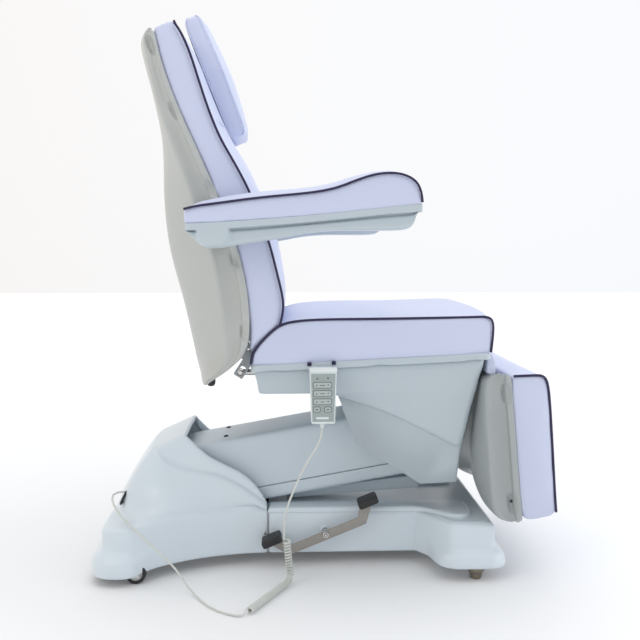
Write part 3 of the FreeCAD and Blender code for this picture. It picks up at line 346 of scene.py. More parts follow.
def tube(points, radius, sides):
    """A round tube on a line of points, with closed ends."""
    rows = []
    side = None
    for i, point in enumerate(points):
        way = heading(points, i)
        if side is None:
            side = way.orthogonal()
        side = (side - way * side.dot(way)).normalized()
        other = way.cross(side)
        turns = [2 * math.pi * k / sides for k in range(sides)]
        rows.append([point + (side * math.cos(t) + other * math.sin(t)) * radius for t in turns])
    return close_ends(skin(rows, ring=True))


# Camera, light and floor

GLOW_PLACES = (0.6, 5.0)  # metres from the middle of the floor
GLOW_LEVELS = (0.06, 0.34)


def far_glow(paint):
    """Lifts the floor's tone away from the bed, where the lamps no longer reach it."""
    nodes, links = paint.node_tree.nodes, paint.node_tree.links
    away = nodes.new("ShaderNodeVectorMath")
    away.operation = "LENGTH"
    links.new(nodes["Texture Coordinate"].outputs["Object"], away.inputs[0])
    rise = nodes.new("ShaderNodeMapRange")
    for key, place, level in zip(("Min", "Max"), GLOW_PLACES, GLOW_LEVELS):
        rise.inputs["From " + key].default_value = place
        rise.inputs["To " + key].default_value = level
    links.new(away.outputs["Value"], rise.inputs["Value"])
    shader = nodes["Principled BSDF"]
    shader.inputs["Emission Color"].default_value = (1.0, 1.0, 1.0, 1.0)
    links.new(rise.outputs["Result"], shader.inputs["Emission Strength"])


LENS = 50.2
CAMERA_PLACE = (-0.099, -2.4, 0.816)
CAMERA_DOWN = 4.611  # degrees below level
CAMERA_TURN = 2.375  # degrees toward the foot end
FLOOR_HALF = 14.0
SKY_LEVEL = 0.76
SKY_LEAN = (0.03, 0.22, 0.08)  # how much stronger the sky is toward +X, +Y and +Z
TINT_LEVEL = 0.5
TINT_LEAN = (0.5, 0.0, 0.0)
HEAD_TINT = (1.0, 0.95, 0.90, 1.0)
FOOT_TINT = (0.94, 0.99, 1.06, 1.0)
# Name, place, target, size, power and colour
LAMPS = (
    ("window", (3.4, -0.7, 1.6), (0.1, 0.0, 0.6), 2.4, 26.0, (1.0, 0.99, 0.97)),
    ("softbox", (-2.4, -2.8, 2.4), (-0.1, 0.0, 0.4), 1.6, 20.0, (0.98, 0.99, 1.0)),
    ("ceiling", (0.3, 0.2, 4.4), (0.0, 0.0, 0.3), 5.0, 62.0, (0.97, 0.985, 1.0)),
)


def studio():
    """The viewpoint, soft daylight that is warmer at the head end, and a pale floor."""
    scene = bpy.context.scene
    camera = bpy.data.cameras.new("camera")
    camera.lens = LENS
    camera.sensor_width = 36.0
    holder = bpy.data.objects.new("camera", camera)
    holder.location = CAMERA_PLACE
    holder.rotation_euler = (math.radians(90.0 - CAMERA_DOWN), 0.0, math.radians(-CAMERA_TURN))
    scene.collection.objects.link(holder)
    scene.camera = holder
    scene.view_settings.view_transform = "Standard"

    world = bpy.data.worlds.new("room")
    world.use_nodes = True
    nodes, links = world.node_tree.nodes, world.node_tree.links
    sky = nodes["Background"]
    way = nodes.new("ShaderNodeTexCoord").outputs["Object"]
    for lean, base, socket in ((SKY_LEAN, SKY_LEVEL, "Strength"), (TINT_LEAN, TINT_LEVEL, "Color")):
        slope = nodes.new("ShaderNodeVectorMath")
        slope.operation = "DOT_PRODUCT"
        slope.inputs[1].default_value = lean
        links.new(way, slope.inputs[0])
        level = nodes.new("ShaderNodeMath")
        level.inputs[1].default_value = base
        links.new(slope.outputs["Value"], level.inputs[0])
        if socket == "Strength":
            links.new(level.outputs["Value"], sky.inputs[socket])
            continue
        tint = nodes.new("ShaderNodeMix")
        tint.data_type = "RGBA"
        tint.inputs["A"].default_value = HEAD_TINT
        tint.inputs["B"].default_value = FOOT_TINT
        links.new(level.outputs["Value"], tint.inputs["Factor"])
        links.new(tint.outputs["Result"], sky.inputs[socket])
    scene.world = world
    for name, place, target, size, power, colour in LAMPS:
        lamp = bpy.data.lights.new(name, "AREA")
        lamp.size = size
        lamp.energy = power
        lamp.color = colour
        lamp_holder = bpy.data.objects.new(name, lamp)
        lamp_holder.location = place
        aim = Vector(target) - Vector(place)
        lamp_holder.rotation_euler = aim.to_track_quat("-Z", "Y").to_euler()
        scene.collection.objects.link(lamp_holder)

    bm = bmesh.new()
    bmesh.ops.create_grid(bm, x_segments=4, y_segments=4, size=FLOOR_HALF)
    mesh = bpy.data.meshes.new("floor")
    bm.to_mesh(mesh)
    bm.free()
    paint = finish(
        "pale_floor", (0.84, 0.845, 0.85), 0.7, drift=0.01, grain=3.0, depth=0.005, patch=600.0, smears=0.03
    )
    far_glow(paint)
    mesh.materials.append(paint)
    floor = bpy.data.objects.new("floor", mesh)
    scene.collection.objects.link(floor)


studio()


# Handset cord

CORD_R = 2.5
COIL_R = 6.9
COIL_TURNS = 44
POINTS_A_TURN = 12
OPEN_START = 0.16  # how much wider apart the first turns stand
CORD_EXIT = Vector((-7.5, -319.0, 398.0))
LEAD = [CORD_EXIT, Vector((-7.5, -319, 362)), Vector((-48, -320, 306)), Vector((-98, -318, 190))]
COIL_AXIS = [
    Vector((-92, -306, 118)), Vector((-88, -297, 62)), Vector((-80, -282, 11.0)), Vector((-112, -340, 10.4)),
    Vector((-176, -464, 10.4)),
]
TAIL = [
    Vector((-190, -486, 2.8)), Vector((-262, -440, 2.8)), Vector((-318, -336, 2.8)),
    Vector((-362, -306, 60)), Vector((-470, -286, 150)), Vector((-528, -174, 164)),
    Vector((-546, -114, 188)), Vector((-506, -114, 188)),
]


def coil_points():
    """The curl's points, wound round its own smooth axis; the first turns stand open, the rest lie close."""
    steps = COIL_TURNS * POINTS_A_TURN
    fine = walk(spline(COIL_AXIS, steps=40), 400)
    found = []
    side = None
    for i in range(steps + 1):
        share = i / steps
        along = (share + OPEN_START * share * (1.0 - share)) * (len(fine) - 1)
        at = min(int(along), len(fine) - 2)
        centre = fine[at].lerp(fine[at + 1], along - at)
        way = (fine[min(at + 2, len(fine) - 1)] - fine[max(at - 1, 0)]).normalized()
        if side is None:
            side = Vector((0, 1, 0)).cross(way).normalized()
        side = (side - way * side.dot(way)).normalized()
        other = way.cross(side)
        angle = 2 * math.pi * i / POINTS_A_TURN
        found.append(centre + (side * math.cos(angle) + other * math.sin(angle)) * COIL_R)
    return found


def handset_cord():
    """One length of cord: plain lead, curl, and plain tail to the gland."""
    line = spline(LEAD + coil_points() + TAIL, steps=3)
    nodes = ["cord_lead", "cord_curl", "cord_tail"]
    obj = piece("handset_cord", tube(line, CORD_R, 8), CORD, None, nodes)
    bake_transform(obj)


handset_cord()


# Cushions

def held_near(lines, reach):
    """A test that is true for points near any of these lines."""
    points = [p for line in lines for p in line]
    tree = KDTree(len(points))
    for i, p in enumerate(points):
        tree.insert(p, i)
    tree.balance()
    return lambda place: tree.find(place)[2] < reach


PRESSURE = 4.0


def swell(bm, held, cap, voxel):
    """Blows a cover up as stuffing does: held points stay, the rest moves out by no more than its cap."""
    scene = bpy.context.scene
    bmesh.ops.scale(bm, vec=(MM, MM, MM), verts=bm.verts)
    mesh = bpy.data.meshes.new("cover")
    bm.to_mesh(mesh)
    bm.free()
    rough = bpy.data.objects.new("cover", mesh)
    scene.collection.objects.link(rough)
    remesh = rough.modifiers.new("even", "REMESH")
    remesh.mode = "VOXEL"
    remesh.voxel_size = voxel * MM
    cover = bpy.data.meshes.new_from_object(rough.evaluated_get(bpy.context.evaluated_depsgraph_get()))
    rough.modifiers.clear()
    rough.data = cover
    start = [v.co.copy() for v in cover.vertices]
    normals = [v.normal.copy() for v in cover.vertices]
    blown = start
    group = rough.vertex_groups.new(name="held")
    group.add([i for i, p in enumerate(start) if held(p / MM, normals[i])], 1.0, "REPLACE")
    cloth = rough.modifiers.new("stuffing", "CLOTH")
    cloth.settings.quality = 4
    cloth.settings.use_pressure = True
    cloth.settings.uniform_pressure_force = PRESSURE
    cloth.settings.effector_weights.gravity = 0.0
    cloth.settings.vertex_group_mass = "held"
    cloth.point_cache.frame_start = 1
    cloth.point_cache.frame_end = SOFT_STEPS
    for step in range(1, SOFT_STEPS + 1):
        scene.frame_set(step)
    done = bpy.data.meshes.new_from_object(rough.evaluated_get(bpy.context.evaluated_depsgraph_get()))
    blown = [v.co.copy() for v in done.vertices]
    scene.frame_set(1)
    out = bmesh.new()
    out.from_mesh(cover)
    out.verts.ensure_lookup_table()
    for i, vert in enumerate(out.verts):
        move = blown[i] - start[i]
        most = cap(start[i] / MM, normals[i]) * MM
        if move.length > most:
            move *= most / move.length
        vert.co = start[i] + move
    for _ in range(2):
        bmesh.ops.smooth_vert(
            out, verts=out.verts, factor=0.5, use_axis_x=True, use_axis_y=True, use_axis_z=True
        )
    bpy.data.objects.remove(rough)
    bmesh.ops.scale(out, vec=(1 / MM, 1 / MM, 1 / MM), verts=out.verts)
    return out


def padded_piece(name, bm, body, node):
    """A finished cushion on its body."""
    obj = piece(name, bm, LEATHER, body, [node], levels=1)


RING_POINTS = 90
EDGE_LESS = 1.6  # how much smaller a cushion's outline is at its side edges
NEXT_LESS = 0.4  # and next to them


def cushion_block(outline, half, crown, face, side):
    """A cushion's start shape: a side outline drawn across the bed, crowned on a face, with bulging sides."""
    ring = walk(spline(outline + outline[:1], steps=12), RING_POINTS)[:-1]
    middle = sum(ring, Vector()) / len(ring)
    reach = [p.dot(face) for p in ring]

    def on_face(p):
        return ((p.dot(face) - min(reach)) / (max(reach) - min(reach))) ** 4

    rows = []
    ends = [(half + side * (1.0 - r ** 3), EDGE_LESS, r) for r in (0.12, 0.3, 0.5, 0.7, 0.85, 0.95)]
    steps = [(-y, less, r) for y, less, r in ends]
    steps += [(-half, EDGE_LESS, 1.0), (-half + 3, NEXT_LESS, 1.0)]
    steps += [(half * (i / 9 - 1) + 9 * (1 - i / 9), 0.0, 1.0) for i in range(19)]
    steps += [(half - 3, NEXT_LESS, 1.0), (half, EDGE_LESS, 1.0)] + ends[::-1]
    for y, less, size in steps:
        row = []
        bulge = crown * max(0.0, 1.0 - (y / half) ** 4)
        for p in ring:
            away = p - middle
            flat = middle + (away - away.normalized() * less) * size
            row.append(flat + face * (bulge * on_face(p)) + Vector((0, y, 0)))
        rows.append(row)
    return close_ends(skin(rows, ring=True))


def sewn_line(name, lines, body, radius=3.0, material=PIPING):
    """Round piping or a raised seam along sewn lines."""
    bm = bmesh.new()
    for line in lines:
        length = sum((b - a).length for a, b in zip(line, line[1:]))
        add(bm, tube(walk(line, max(8, int(length / 5.0))), radius, 10))
    piece(name, bm, material, body)


def both_sides(line, y):
    """A side-view line on the near and the far side."""
    return [[Vector((p.x, side * y, p.z)) for p in line] for side in (-1, 1)]


def spread(line):
    """Copies of a side-view line at even places across the bed."""
    return [[Vector((p.x, y, p.z)) for p in line] for y in range(-280, 281, 14)]


SEAT_REAR_LOW = (-178.0, 537.0)
SEAT_FRONT_LOW = (402.0, 565.0)
SEAT_SLOPE = (SEAT_FRONT_LOW[1] - SEAT_REAR_LOW[1]) / (SEAT_FRONT_LOW[0] - SEAT_REAR_LOW[0])
SEAT_PANEL = [
    (400, 566), (404, 600), (405, 640), (392, 653), (350, 651), (136, 648), (-30, 647), (-100, 639),
    (-132, 614), (-160, 584), (-175, 560), (-176, 540),
]


def rim_height(x):
    """Height of the seat's lower edge, which is the top of its shell."""
    return SEAT_REAR_LOW[1] + (x - SEAT_REAR_LOW[0]) * SEAT_SLOPE


def seat_cushion():
    """Seat cushion with piping over each side panel."""
    edge = side_line(SEAT_PANEL)
    under = [Vector((x, 0, rim_height(x) - 11)) for x in (-174, -100, 112, 330, 398)]
    seam = spline(edge)
    near = held_near(both_sides(seam, HALF - 6), 10.0)
    start = cushion_block(edge + under, HALF - 2, 19.0, Vector((0, 0, 1)), 13.0)

    def cap(_, normal):
        if normal.z > 0.6:
            return 9.0
        return 7.0 if abs(normal.y) < 0.7 else 5.0

    bm = swell(start, lambda p, n: near(p) or n.z < -0.7, cap, voxel=7.0)
    padded_piece("seat_cushion_cover", bm, "seat", "seat_cushion")
    sewn_line("seat_piping", both_sides(seam, HALF - 2.5), "seat")
    fold = block([(396, 512), (410, 507), (417, 513), (417, 540), (410, 558), (396, 566)], -268, 268)
    flap = piece("seat_front_flap", soften(fold, 6.0, 4), LEATHER, "seat")


LIP_LINE = [
    (-177, 566), (-172, 600), (-178, 651), (-191, 745), (-207, 819), (-249, 930), (-267, 974),
    (-311, 1071), (-335, 1123), (-358, 1180), (-381, 1253), (-392, 1300), (-393, 1318),
]
PIPE_LINE = [
    (-108, 630), (-98, 662), (-99, 700), (-116, 769), (-131, 830), (-172, 937), (-190, 975),
    (-214, 1019), (-245, 1072), (-271, 1137), (-292, 1202), (-312, 1267), (-335, 1319), (-347, 1333),
]
# Share of the height, crown of the cushion's front
BACK_CROWN = ((0.0, 4), (0.12, 12), (0.3, 23), (0.5, 26), (0.66, 21), (0.8, 15), (0.92, 10), (1.0, 4))


def stepped(table, share):
    """Value of a table of (share, value) rows at a share between its rows."""
    share = max(share, table[0][0])
    for (a, low), (b, high) in zip(table, table[1:]):
        if share <= b:
            return low + (high - low) * (share - a) / (b - a)
    return table[-1][1]


def back_cushion():
    """Back cushion: crowned front, bulging side panels, piping down both front edges and over the top."""
    count = 48
    lip = walk(spline(side_line(LIP_LINE)), count)
    pipe = walk(spline(side_line(PIPE_LINE)), count)
    half = HALF - 4
    rows = []
    for i, (rear, front) in enumerate(zip(lip, pipe)):
        crown = 0.85 * stepped(BACK_CROWN, i / (count - 1))
        rear = rear + Vector((-4, 0, 0))
        row = [rear + Vector((0, -half + 3, 0)), rear.lerp(front, 0.15) + Vector((0, -half, 0))]
        row.append(rear.lerp(front, 0.5) + Vector((0, -half - 1, 0)))
        row.append(rear.lerp(front, 0.9) + Vector((0, -half, 0)))
        row.append(front + Vector((-2, -half + 2, -1)))
        for k in range(1, 12):
            y = -half + 2 * half * k / 12
            bulge = crown * (1.0 - (y / half) ** 6)
            row.append(front + Vector((bulge * 0.93 - 1, y, bulge * 0.36)))
        row += [Vector((p.x, -p.y, p.z)) for p in reversed(row[:5])]
        rows.append(row)
    top = rows[-1]
    for inset, lift in ((0.06, 5.0), (0.2, 8.0), (0.45, 9.0)):
        slim = 1 - inset * 0.1
        rows.append([Vector((p.x + (-370 - p.x) * inset, p.y * slim, p.z + lift)) for p in top])
    start = close_ends(skin(rows, ring=True))
    near = held_near(both_sides(pipe, HALF - 5), 9.0)
    rests = held_near(spread(lip), 16.0)

    def cap(place, normal):
        if normal.z > 0.6:
            return 5.0
        return 0.2 * stepped(BACK_CROWN, (place.z - 630) / 700) if abs(normal.y) < 0.7 else 5.0

    bm = swell(start, lambda p, n: near(p) or rests(p), cap, voxel=7.0)
    padded_piece("back_cushion_cover", bm, "backrest", "back_cushion")
    over = [Vector((pipe[-1].x - 1, y, pipe[-1].z + 5)) for y in range(-280, 281, 20)]
    sewn_line("back_piping", both_sides(pipe, HALF - 3) + [over], "backrest")
    panel_seam(pipe)


def panel_seam(pipe):
    """The faint curved seam on the front of the back cushion, below the pillow."""
    points = []
    at = pipe[32]
    for share in (0.0, 0.15, 0.35, 0.5, 0.65, 0.85, 1.0):
        y = -250 + 500 * share
        x = at.x + 25 * (1 - (y / HALF) ** 4) - 0.4
        points.append(Vector((x, y, at.z + 10 - 26 * math.sin(math.pi * share))))
    sewn_line("back_panel_seam", [spline(points)], "backrest", 0.9, LEATHER)


LEG_LIP = [(480, 147), (470, 250), (462, 340), (454, 430), (448, 505)]
LEG_EDGE = [(456, 508), (500, 510), (530, 510), (541, 488), (548, 420), (557, 300), (563, 215), (567, 172)]
LEG_FOOT = [(564, 163), (534, 156)]


def leg_cushion():
    """Leg-rest cushion with piping over the top and down the front of each side panel."""
    edge = side_line(LEG_EDGE)
    lip = side_line(LEG_LIP)
    seam = spline(edge)
    near = held_near(both_sides(seam, HALF - 6), 10.0)
    rests = held_near(spread(spline(lip)), 14.0)
    start = cushion_block(edge + side_line(LEG_FOOT) + lip, HALF - 2, 9.0, Vector((1, 0, 0)), 9.0)

    def cap(_, normal):
        return 6.0 if normal.x > 0.6 else 4.0

    bm = swell(start, lambda p, n: near(p) or rests(p), cap, voxel=6.5)
    padded_piece("leg_cushion_cover", bm, "leg_rest", "leg_cushion")
    sewn_line("leg_piping", both_sides(seam, HALF - 2.5), "leg_rest")


HEAD_TOP = Vector((-338, 0, 1384))
HEAD_LOW = Vector((-224, 0, 1097))
HEAD_WAY = Vector((0.929, 0, 0.369))
# Share of the height, half width, depth of the rear, of the front seam and of the middle
HEAD_SECTIONS = (
    (-0.012, 72, 5, 15, 20), (-0.004, 88, -6, 25, 32), (0.012, 97, -10, 32, 39), (0.07, 104, -11, 35, 44),
    (0.25, 121, -11, 36, 50), (0.45, 143, -11, 37, 54), (0.5, 147, -11, 37, 55), (0.55, 143, -11, 37, 54),
    (0.75, 121, -11, 36, 51), (0.94, 104, -10, 34, 46), (0.995, 99, -8, 32, 42), (1.02, 92, -2, 27, 37),
    (1.034, 78, 8, 20, 28),
)


def headrest():
    """Six-sided head pillow with raised seams round its front and back panels."""
    rows = []
    front_seam = [[], []]
    back_seam = [[], []]
    for share, half, rear, seam, deep in HEAD_SECTIONS:
        spot = HEAD_LOW.lerp(HEAD_TOP, share)
        low = rear + 4.0
        plan = [(rear, -half + 24), (rear + 1, -half + 7), (low, -half + 1), ((low + seam) / 2, -half - 0.5)]
        plan.append((seam - 1, -half + 2))
        plan += [(seam + (deep - seam) * 0.42, -half + 20), (deep - 2, -half * 0.5), (deep, 0)]
        plan += [(d, -y) for d, y in reversed(plan[:-1])]
        rows.append([spot + HEAD_WAY * d + Vector((0, y, 0)) for d, y in plan])
        for k, side in enumerate((-1, 1)):
            front_seam[k].append(spot + HEAD_WAY * (seam + 0.5) + Vector((0, side * (half - 1.0), 0)))
            back_seam[k].append(spot + HEAD_WAY * low + Vector((0, side * (half - 0.6), 0)))
    start = close_ends(skin(rows, ring=True))
    seams = [spline(line, steps=10) for line in front_seam + back_seam]
    near = held_near(seams, 6.0)
    bm = swell(start, lambda p, n: near(p) or n.dot(HEAD_WAY) < -0.8, lambda p, n: 6.0, voxel=4.5)
    padded_piece("headrest_pillow_cover", bm, "headrest", "headrest_pillow")
    sewn_line("headrest_seams", [line[4:-4] for line in seams], "headrest", 1.3, LEATHER)


PAD_LOW = [(-317, 871), (-218, 875), (-65, 887), (68, 900), (211, 916)]
PAD_TOP = [
    (-319, 902), (-300, 908), (-240, 916), (-152, 928), (-65, 936), (-21, 941), (23, 950), (68, 968),
    (112, 982), (160, 984), (196, 970), (212, 944), (214, 918),
]
# Share of the pad's length, crown of its top
PAD_CROWN = ((0.0, 2), (0.06, 12), (0.2, 17), (0.45, 15), (0.62, 16), (0.75, 10), (0.9, 5), (1.0, 1))
ARMREST_IN = 306.0
ARMREST_OUT = 402.0
ARMREST_MIDDLE = (ARMREST_IN + ARMREST_OUT) / 2


def armrest_pads():
    """Armrest pads: a low rear, a raised hand grip, piping along both top edges."""
    count = 70
    half = (ARMREST_OUT - ARMREST_IN) / 2 - 2
    low = walk(spline(side_line(PAD_LOW)), count)
    top = walk(spline(side_line(PAD_TOP)), count)
    rows = []
    for i, (a, b) in enumerate(zip(low, top)):
        base = Vector((a.x * 0.3 + b.x * 0.7, 0, a.z - 2))
        crown = stepped(PAD_CROWN, i / (count - 1))
        row = [base + Vector((0, -half + 1.5, 0)), base.lerp(b, 0.5) + Vector((0, -half, 0))]
        row += [b + Vector((0, -half + 2.5, -2)), b + Vector((0, -half * 0.55, crown * 0.7))]
        row.append(b + Vector((0, 0, crown)))
        row += [Vector((p.x, -p.y, p.z)) for p in reversed(row[:4])]
        rows.append(row)
    start = close_ends(skin(rows, ring=True))
    seams = both_sides(top, half - 0.5)
    near = held_near(seams, 5.5)
    bm = swell(
        start, lambda p, n: near(p) or n.z < -0.7, lambda p, n: 6.0 if abs(n.y) < 0.7 else 3.0, voxel=4.5
    )
    for side, word in SIDES:
        copy = bm.copy()
        bmesh.ops.translate(copy, vec=(0, side * ARMREST_MIDDLE, 0), verts=copy.verts)
        body = "armrest_" + word
        padded_piece("armrest_pad_cover_" + word, copy, body, "armrest_pad_" + word)
        lines = [[p + Vector((0, side * ARMREST_MIDDLE, 0)) for p in line] for line in seams]
        sewn_line("armrest_piping_" + word, lines, body, 2.8)
    bm.free()


seat_cushion()
back_cushion()
leg_cushion()
headrest()
armrest_pads()


# Moulded shells

def outward(bm, inside):
    """Turns an open skin's faces away from a point inside it."""
    bmesh.ops.recalc_face_normals(bm, faces=bm.faces)
    lean = sum((f.calc_center_median() - inside).dot(f.normal) * f.calc_area() for f in bm.faces)
    if lean < 0:
        bmesh.ops.reverse_faces(bm, faces=bm.faces)
    return bm


def moulding(name, bm, material, body, node):
    """A smoothed shell with a wall that stands for a node."""
    piece(name, bm, material, body, [node], levels=1, wall=4.0)


def column_skin(columns, steps):
    """A skin over smooth columns that all have the same number of control points."""
    lines = [spline(column, steps=steps) for column in columns]
    return skin([list(row) for row in zip(*lines)])


def shell_plan(z, front, side, rear, lip, flat, hollow=-3.0):
    """One level of a moulded shell: lip strip, step, channelled wall, rounded ridge, flank and back."""
    span = front - side
    fit = min(1.0, span / 62.0)
    strip = front - 15 * fit
    step = 10 * fit
    plan = [
        (front + 4, -lip + 9), (front + 2, -lip + 5), (front, -lip + 3.2), (front - 7 * fit, -lip + 0.8),
        (strip + 1.4, -lip - 1.0), (strip, -lip), (strip - 1.2, -lip + step * 0.8), (strip - 3, -lip + step),
    ]
    wall = side + 17 * fit
    for share in (0.18, 0.4, 0.62, 0.84):
        x = strip - 3 + (wall - strip + 3) * share
        plan.append((x, -lip + step + 2.5 * fit * math.sin(math.pi * share)))
    plan += [
        (wall, -lip + step), (side + 13 * fit, -lip + step - 1.5 * fit), (side + 9 * fit, -lip + 5.5),
        (side + 4 * fit, -lip + 4.6), (side, -lip + 6), (side - 3, -lip + 10),
    ]
    for share in (0.25, 0.5, 0.75):
        x = side - 3 + (rear - side + 3) * share
        y = -lip + 10 + (lip - 10 - flat) * share
        plan.append((x - 6 * math.sin(math.pi * share), y))
    plan += [(rear, -flat), (rear + hollow * 0.7, -flat * 0.84), (rear + hollow, 0)]
    return [Vector((x, y, z)) for x, y in plan]


POCKET_WIDE = 11.0
POCKET_DEEP = 10.0
SCREW_DEPTH = 17.0  # how far a pocket's screw lies inside the lip


def pocket(bm, x, z, lean, y, tall=24.0):
    """Presses a long screw pocket into the near wall of a shell."""
    for vert in bm.verts:
        if vert.co.y > y + 30:
            continue
        across = (vert.co.x - x) - (vert.co.z - z) * lean
        size = math.hypot(across / POCKET_WIDE, (vert.co.z - z) / tall)
        if size < 1.0:
            vert.co.y += POCKET_DEEP * (1.0 - size ** 4)


def pocket_screw(x, y, z):
    """A pan-head screw at the bottom of a pocket, facing the viewer."""
    profile = [(0, -2.2), (2.4, -1.8), (3.6, -0.6), (3.8, 0.6)]
    return turned(profile, (x, y, z), "Y", 16)


# Level, lip, ridge and back of the shell in side view
BACK_SHELL = (
    (497, -277, -286, -303), (524, -235, -250, -312), (571, -182, -233, -322), (690, -181, -249, -347),
    (806, -204, -269, -380), (926, -248, -310, -393), (1044, -299, -352, -391), (1122, -335, -379, -395),
    (1190, -362, -396, -408), (1252, -382, -410, -427), (1296, -392, -417, -438),
)
REAR_FLAT = 170.0
SHELL_LIP = 296.0
BACK_POCKETS = (
    (-401, 1281, -0.32), (-349, 1133, -0.42), (-266, 952, -0.43), (-213, 793, -0.25), (-192, 619, 0.0),
)
BUMPER_PROFILE = [(0, -15), (7, -13), (10, -8), (10.5, 0), (10, 6), (0, 7)]


def back_shell():
    """Back shell: lip round the cushion, channelled side walls with screw pockets, hollowed rear."""
    levels = [shell_plan(*row, SHELL_LIP, REAR_FLAT) for row in BACK_SHELL]
    low = [Vector((p.x * 0.6 - 116, p.y * 0.96, 490)) for p in levels[0]]
    levels = [low] + levels
    top = levels[-1]
    for z, share in ((1310, 0.2), (1317, 0.55), (1319, 1.0)):
        levels.append([Vector((p.x + (-404 - p.x) * share, p.y * (1 - 0.02 * share), z)) for p in top])
    bm = column_skin(list(zip(*levels)), steps=14)
    screws = bmesh.new()
    for x, z, lean in BACK_POCKETS:
        pocket(bm, x, z, lean, -SHELL_LIP)
        for side in (-1, 1):
            add(screws, pocket_screw(x + 3, side * (SHELL_LIP - SCREW_DEPTH), z + 4))
    mirrored(bm)
    outward(bm, Vector((-300, 0, 900)))
    # The back shell's finish carries painted warm bounce light and shade in its colour.
    moulding("back_shell_moulding", bm, BACK_SHELL_WARM_SHADE, "backrest", "back_shell")
    piece("back_shell_screws", screws, DARK, "backrest")
    bumpers = bmesh.new()
    for side in (-1, 1):
        add(bumpers, turned(BUMPER_PROFILE, (-272, side * 268, 500), "Z", 20))
    piece("back_shell_bumpers", bumpers, RUBBER, "backrest")


LEG_SHELL = (
    (152, 481, 436, 441), (165, 480, 420, 421), (185, 478, 411, 401), (242, 472, 404, 378),
    (310, 466, 398, 370), (369, 461, 393, 374), (430, 455, 389, 384), (470, 451, 388, 392),
    (506, 447, 390, 396),
)
LEG_HOLLOW = 46.0
LEG_POCKETS = ((438, 466, -0.09), (458, 195, -0.1))


def leg_shell():
    """Leg-rest shell with two recessed screws on each side."""
    levels = [shell_plan(*row, SHELL_LIP, REAR_FLAT, LEG_HOLLOW) for row in LEG_SHELL]
    low = [Vector((p.x * 0.4 + 284, p.y * 0.97, 147)) for p in levels[0]]
    top = [Vector((p.x * 0.5 + 222, p.y * 0.985, 512)) for p in levels[-1]]
    bm = column_skin(list(zip(*[low] + levels + [top])), steps=14)
    screws = bmesh.new()
    for x, z, lean in LEG_POCKETS:
        pocket(bm, x, z, lean, -SHELL_LIP, tall=27.0)
        for side in (-1, 1):
            add(screws, pocket_screw(x, side * (SHELL_LIP - SCREW_DEPTH), z + 3))
    mirrored(bm)
    outward(bm, Vector((450, 0, 330)))
    # The leg shell's finish is the shell plastic darkened as painted shade.
    moulding("leg_shell_moulding", bm, LEG_SHELL_PAINTED_SHADE, "leg_rest", "leg_shell")
    piece("leg_shell_screws", screws, DARK, "leg_rest")


RIM_HALF = 300.0
TRAY_BOTTOM = 463.0
CREASE = [(-20, 463), (12, 462), (31, 455), (65, 443), (142, 419), (245, 373), (332, 328), (352, 318)]
SKIRT = [(33, 470), (50, 412), (82, 332), (243, 227), (336, 231), (343, 290), (374, 460), (376, 470)]
SKIRT_HALF = 215.0
RIM_SCOOPS = (-127.0, 130.0, 357.0)
SCOOP_LIFT = 2.6
SCOOP_HALF = 32.0


def half_ring(rear, front, half, corner, spots):
    """Near half of a rounded rectangle in plan, from the rear middle; spots are shares of the near side."""
    plan = [(rear, 0), (rear, -half * 0.5), (rear, -half + corner)]
    plan += [(rear + corner * 0.3, -half + corner * 0.3), (rear + corner, -half)]
    plan += [(rear + corner + (front - rear - 2 * corner) * s, -half) for s in spots]
    plan += [(front - corner, -half), (front - corner * 0.3, -half + corner * 0.3)]
    plan += [(front, -half + corner), (front, -half * 0.5), (front, 0)]
    return plan


def line_height(line, x):
    """Height of a side-view line of points at x."""
    for a, b in zip(line, line[1:]):
        if x <= b.x:
            share = max(0.0, (x - a.x) / max(b.x - a.x, 1e-6))
            return a.z + (b.z - a.z) * share
    return line[-1].z


def rim_scoop(x, y):
    """How far a finger scoop lifts the rim's lower edge at a place."""
    if y > -280:
        return 0.0
    return sum(SCOOP_LIFT * max(0.0, 1.0 - ((x - at) / SCOOP_HALF) ** 2) ** 2 for at in RIM_SCOOPS)


def through_wall(p):
    """True where the back lever or the leg rod passes through the seat shell."""
    lever = p.x < -140 and -98 < p.y < -22
    rod = p.x > 300 and 36 < p.y < 84 and 455 < p.z < 505
    return lever or rod


# Inset from the rim's outside, height above its top
RIM_ROWS = (
    (12, 2), (4.5, 1), (2.6, -1), (2, -3), (1, -8), (0, -13), (0.4, -14.6), (1.6, -15.5), (9, -15.5),
    (17, -15),
)
# Rear end, front end, inset of the side, share of the way down: one at the tray's bottom, two at the crease
TRAY_ROWS = (
    (-171, 391, 25, 0.0), (-171, 391, 24, 0.04), (-170.5, 390, 20, 0.08), (-168, 387, 26, 0.3),
    (-164, 382, 33, 0.5), (-161, 377, 41, 0.93), (-159, 374, 44, 1.0), (-152, 362, 54, 1.4),
    (-150, 352, 62, 1.8), (-148, 347, 66, 1.95), (-146, 342, 69, 2.0), (-143, 334, 76, 2.02),
    (-138, 320, 88, 1.98),
)
SIDE_STEPS = 90


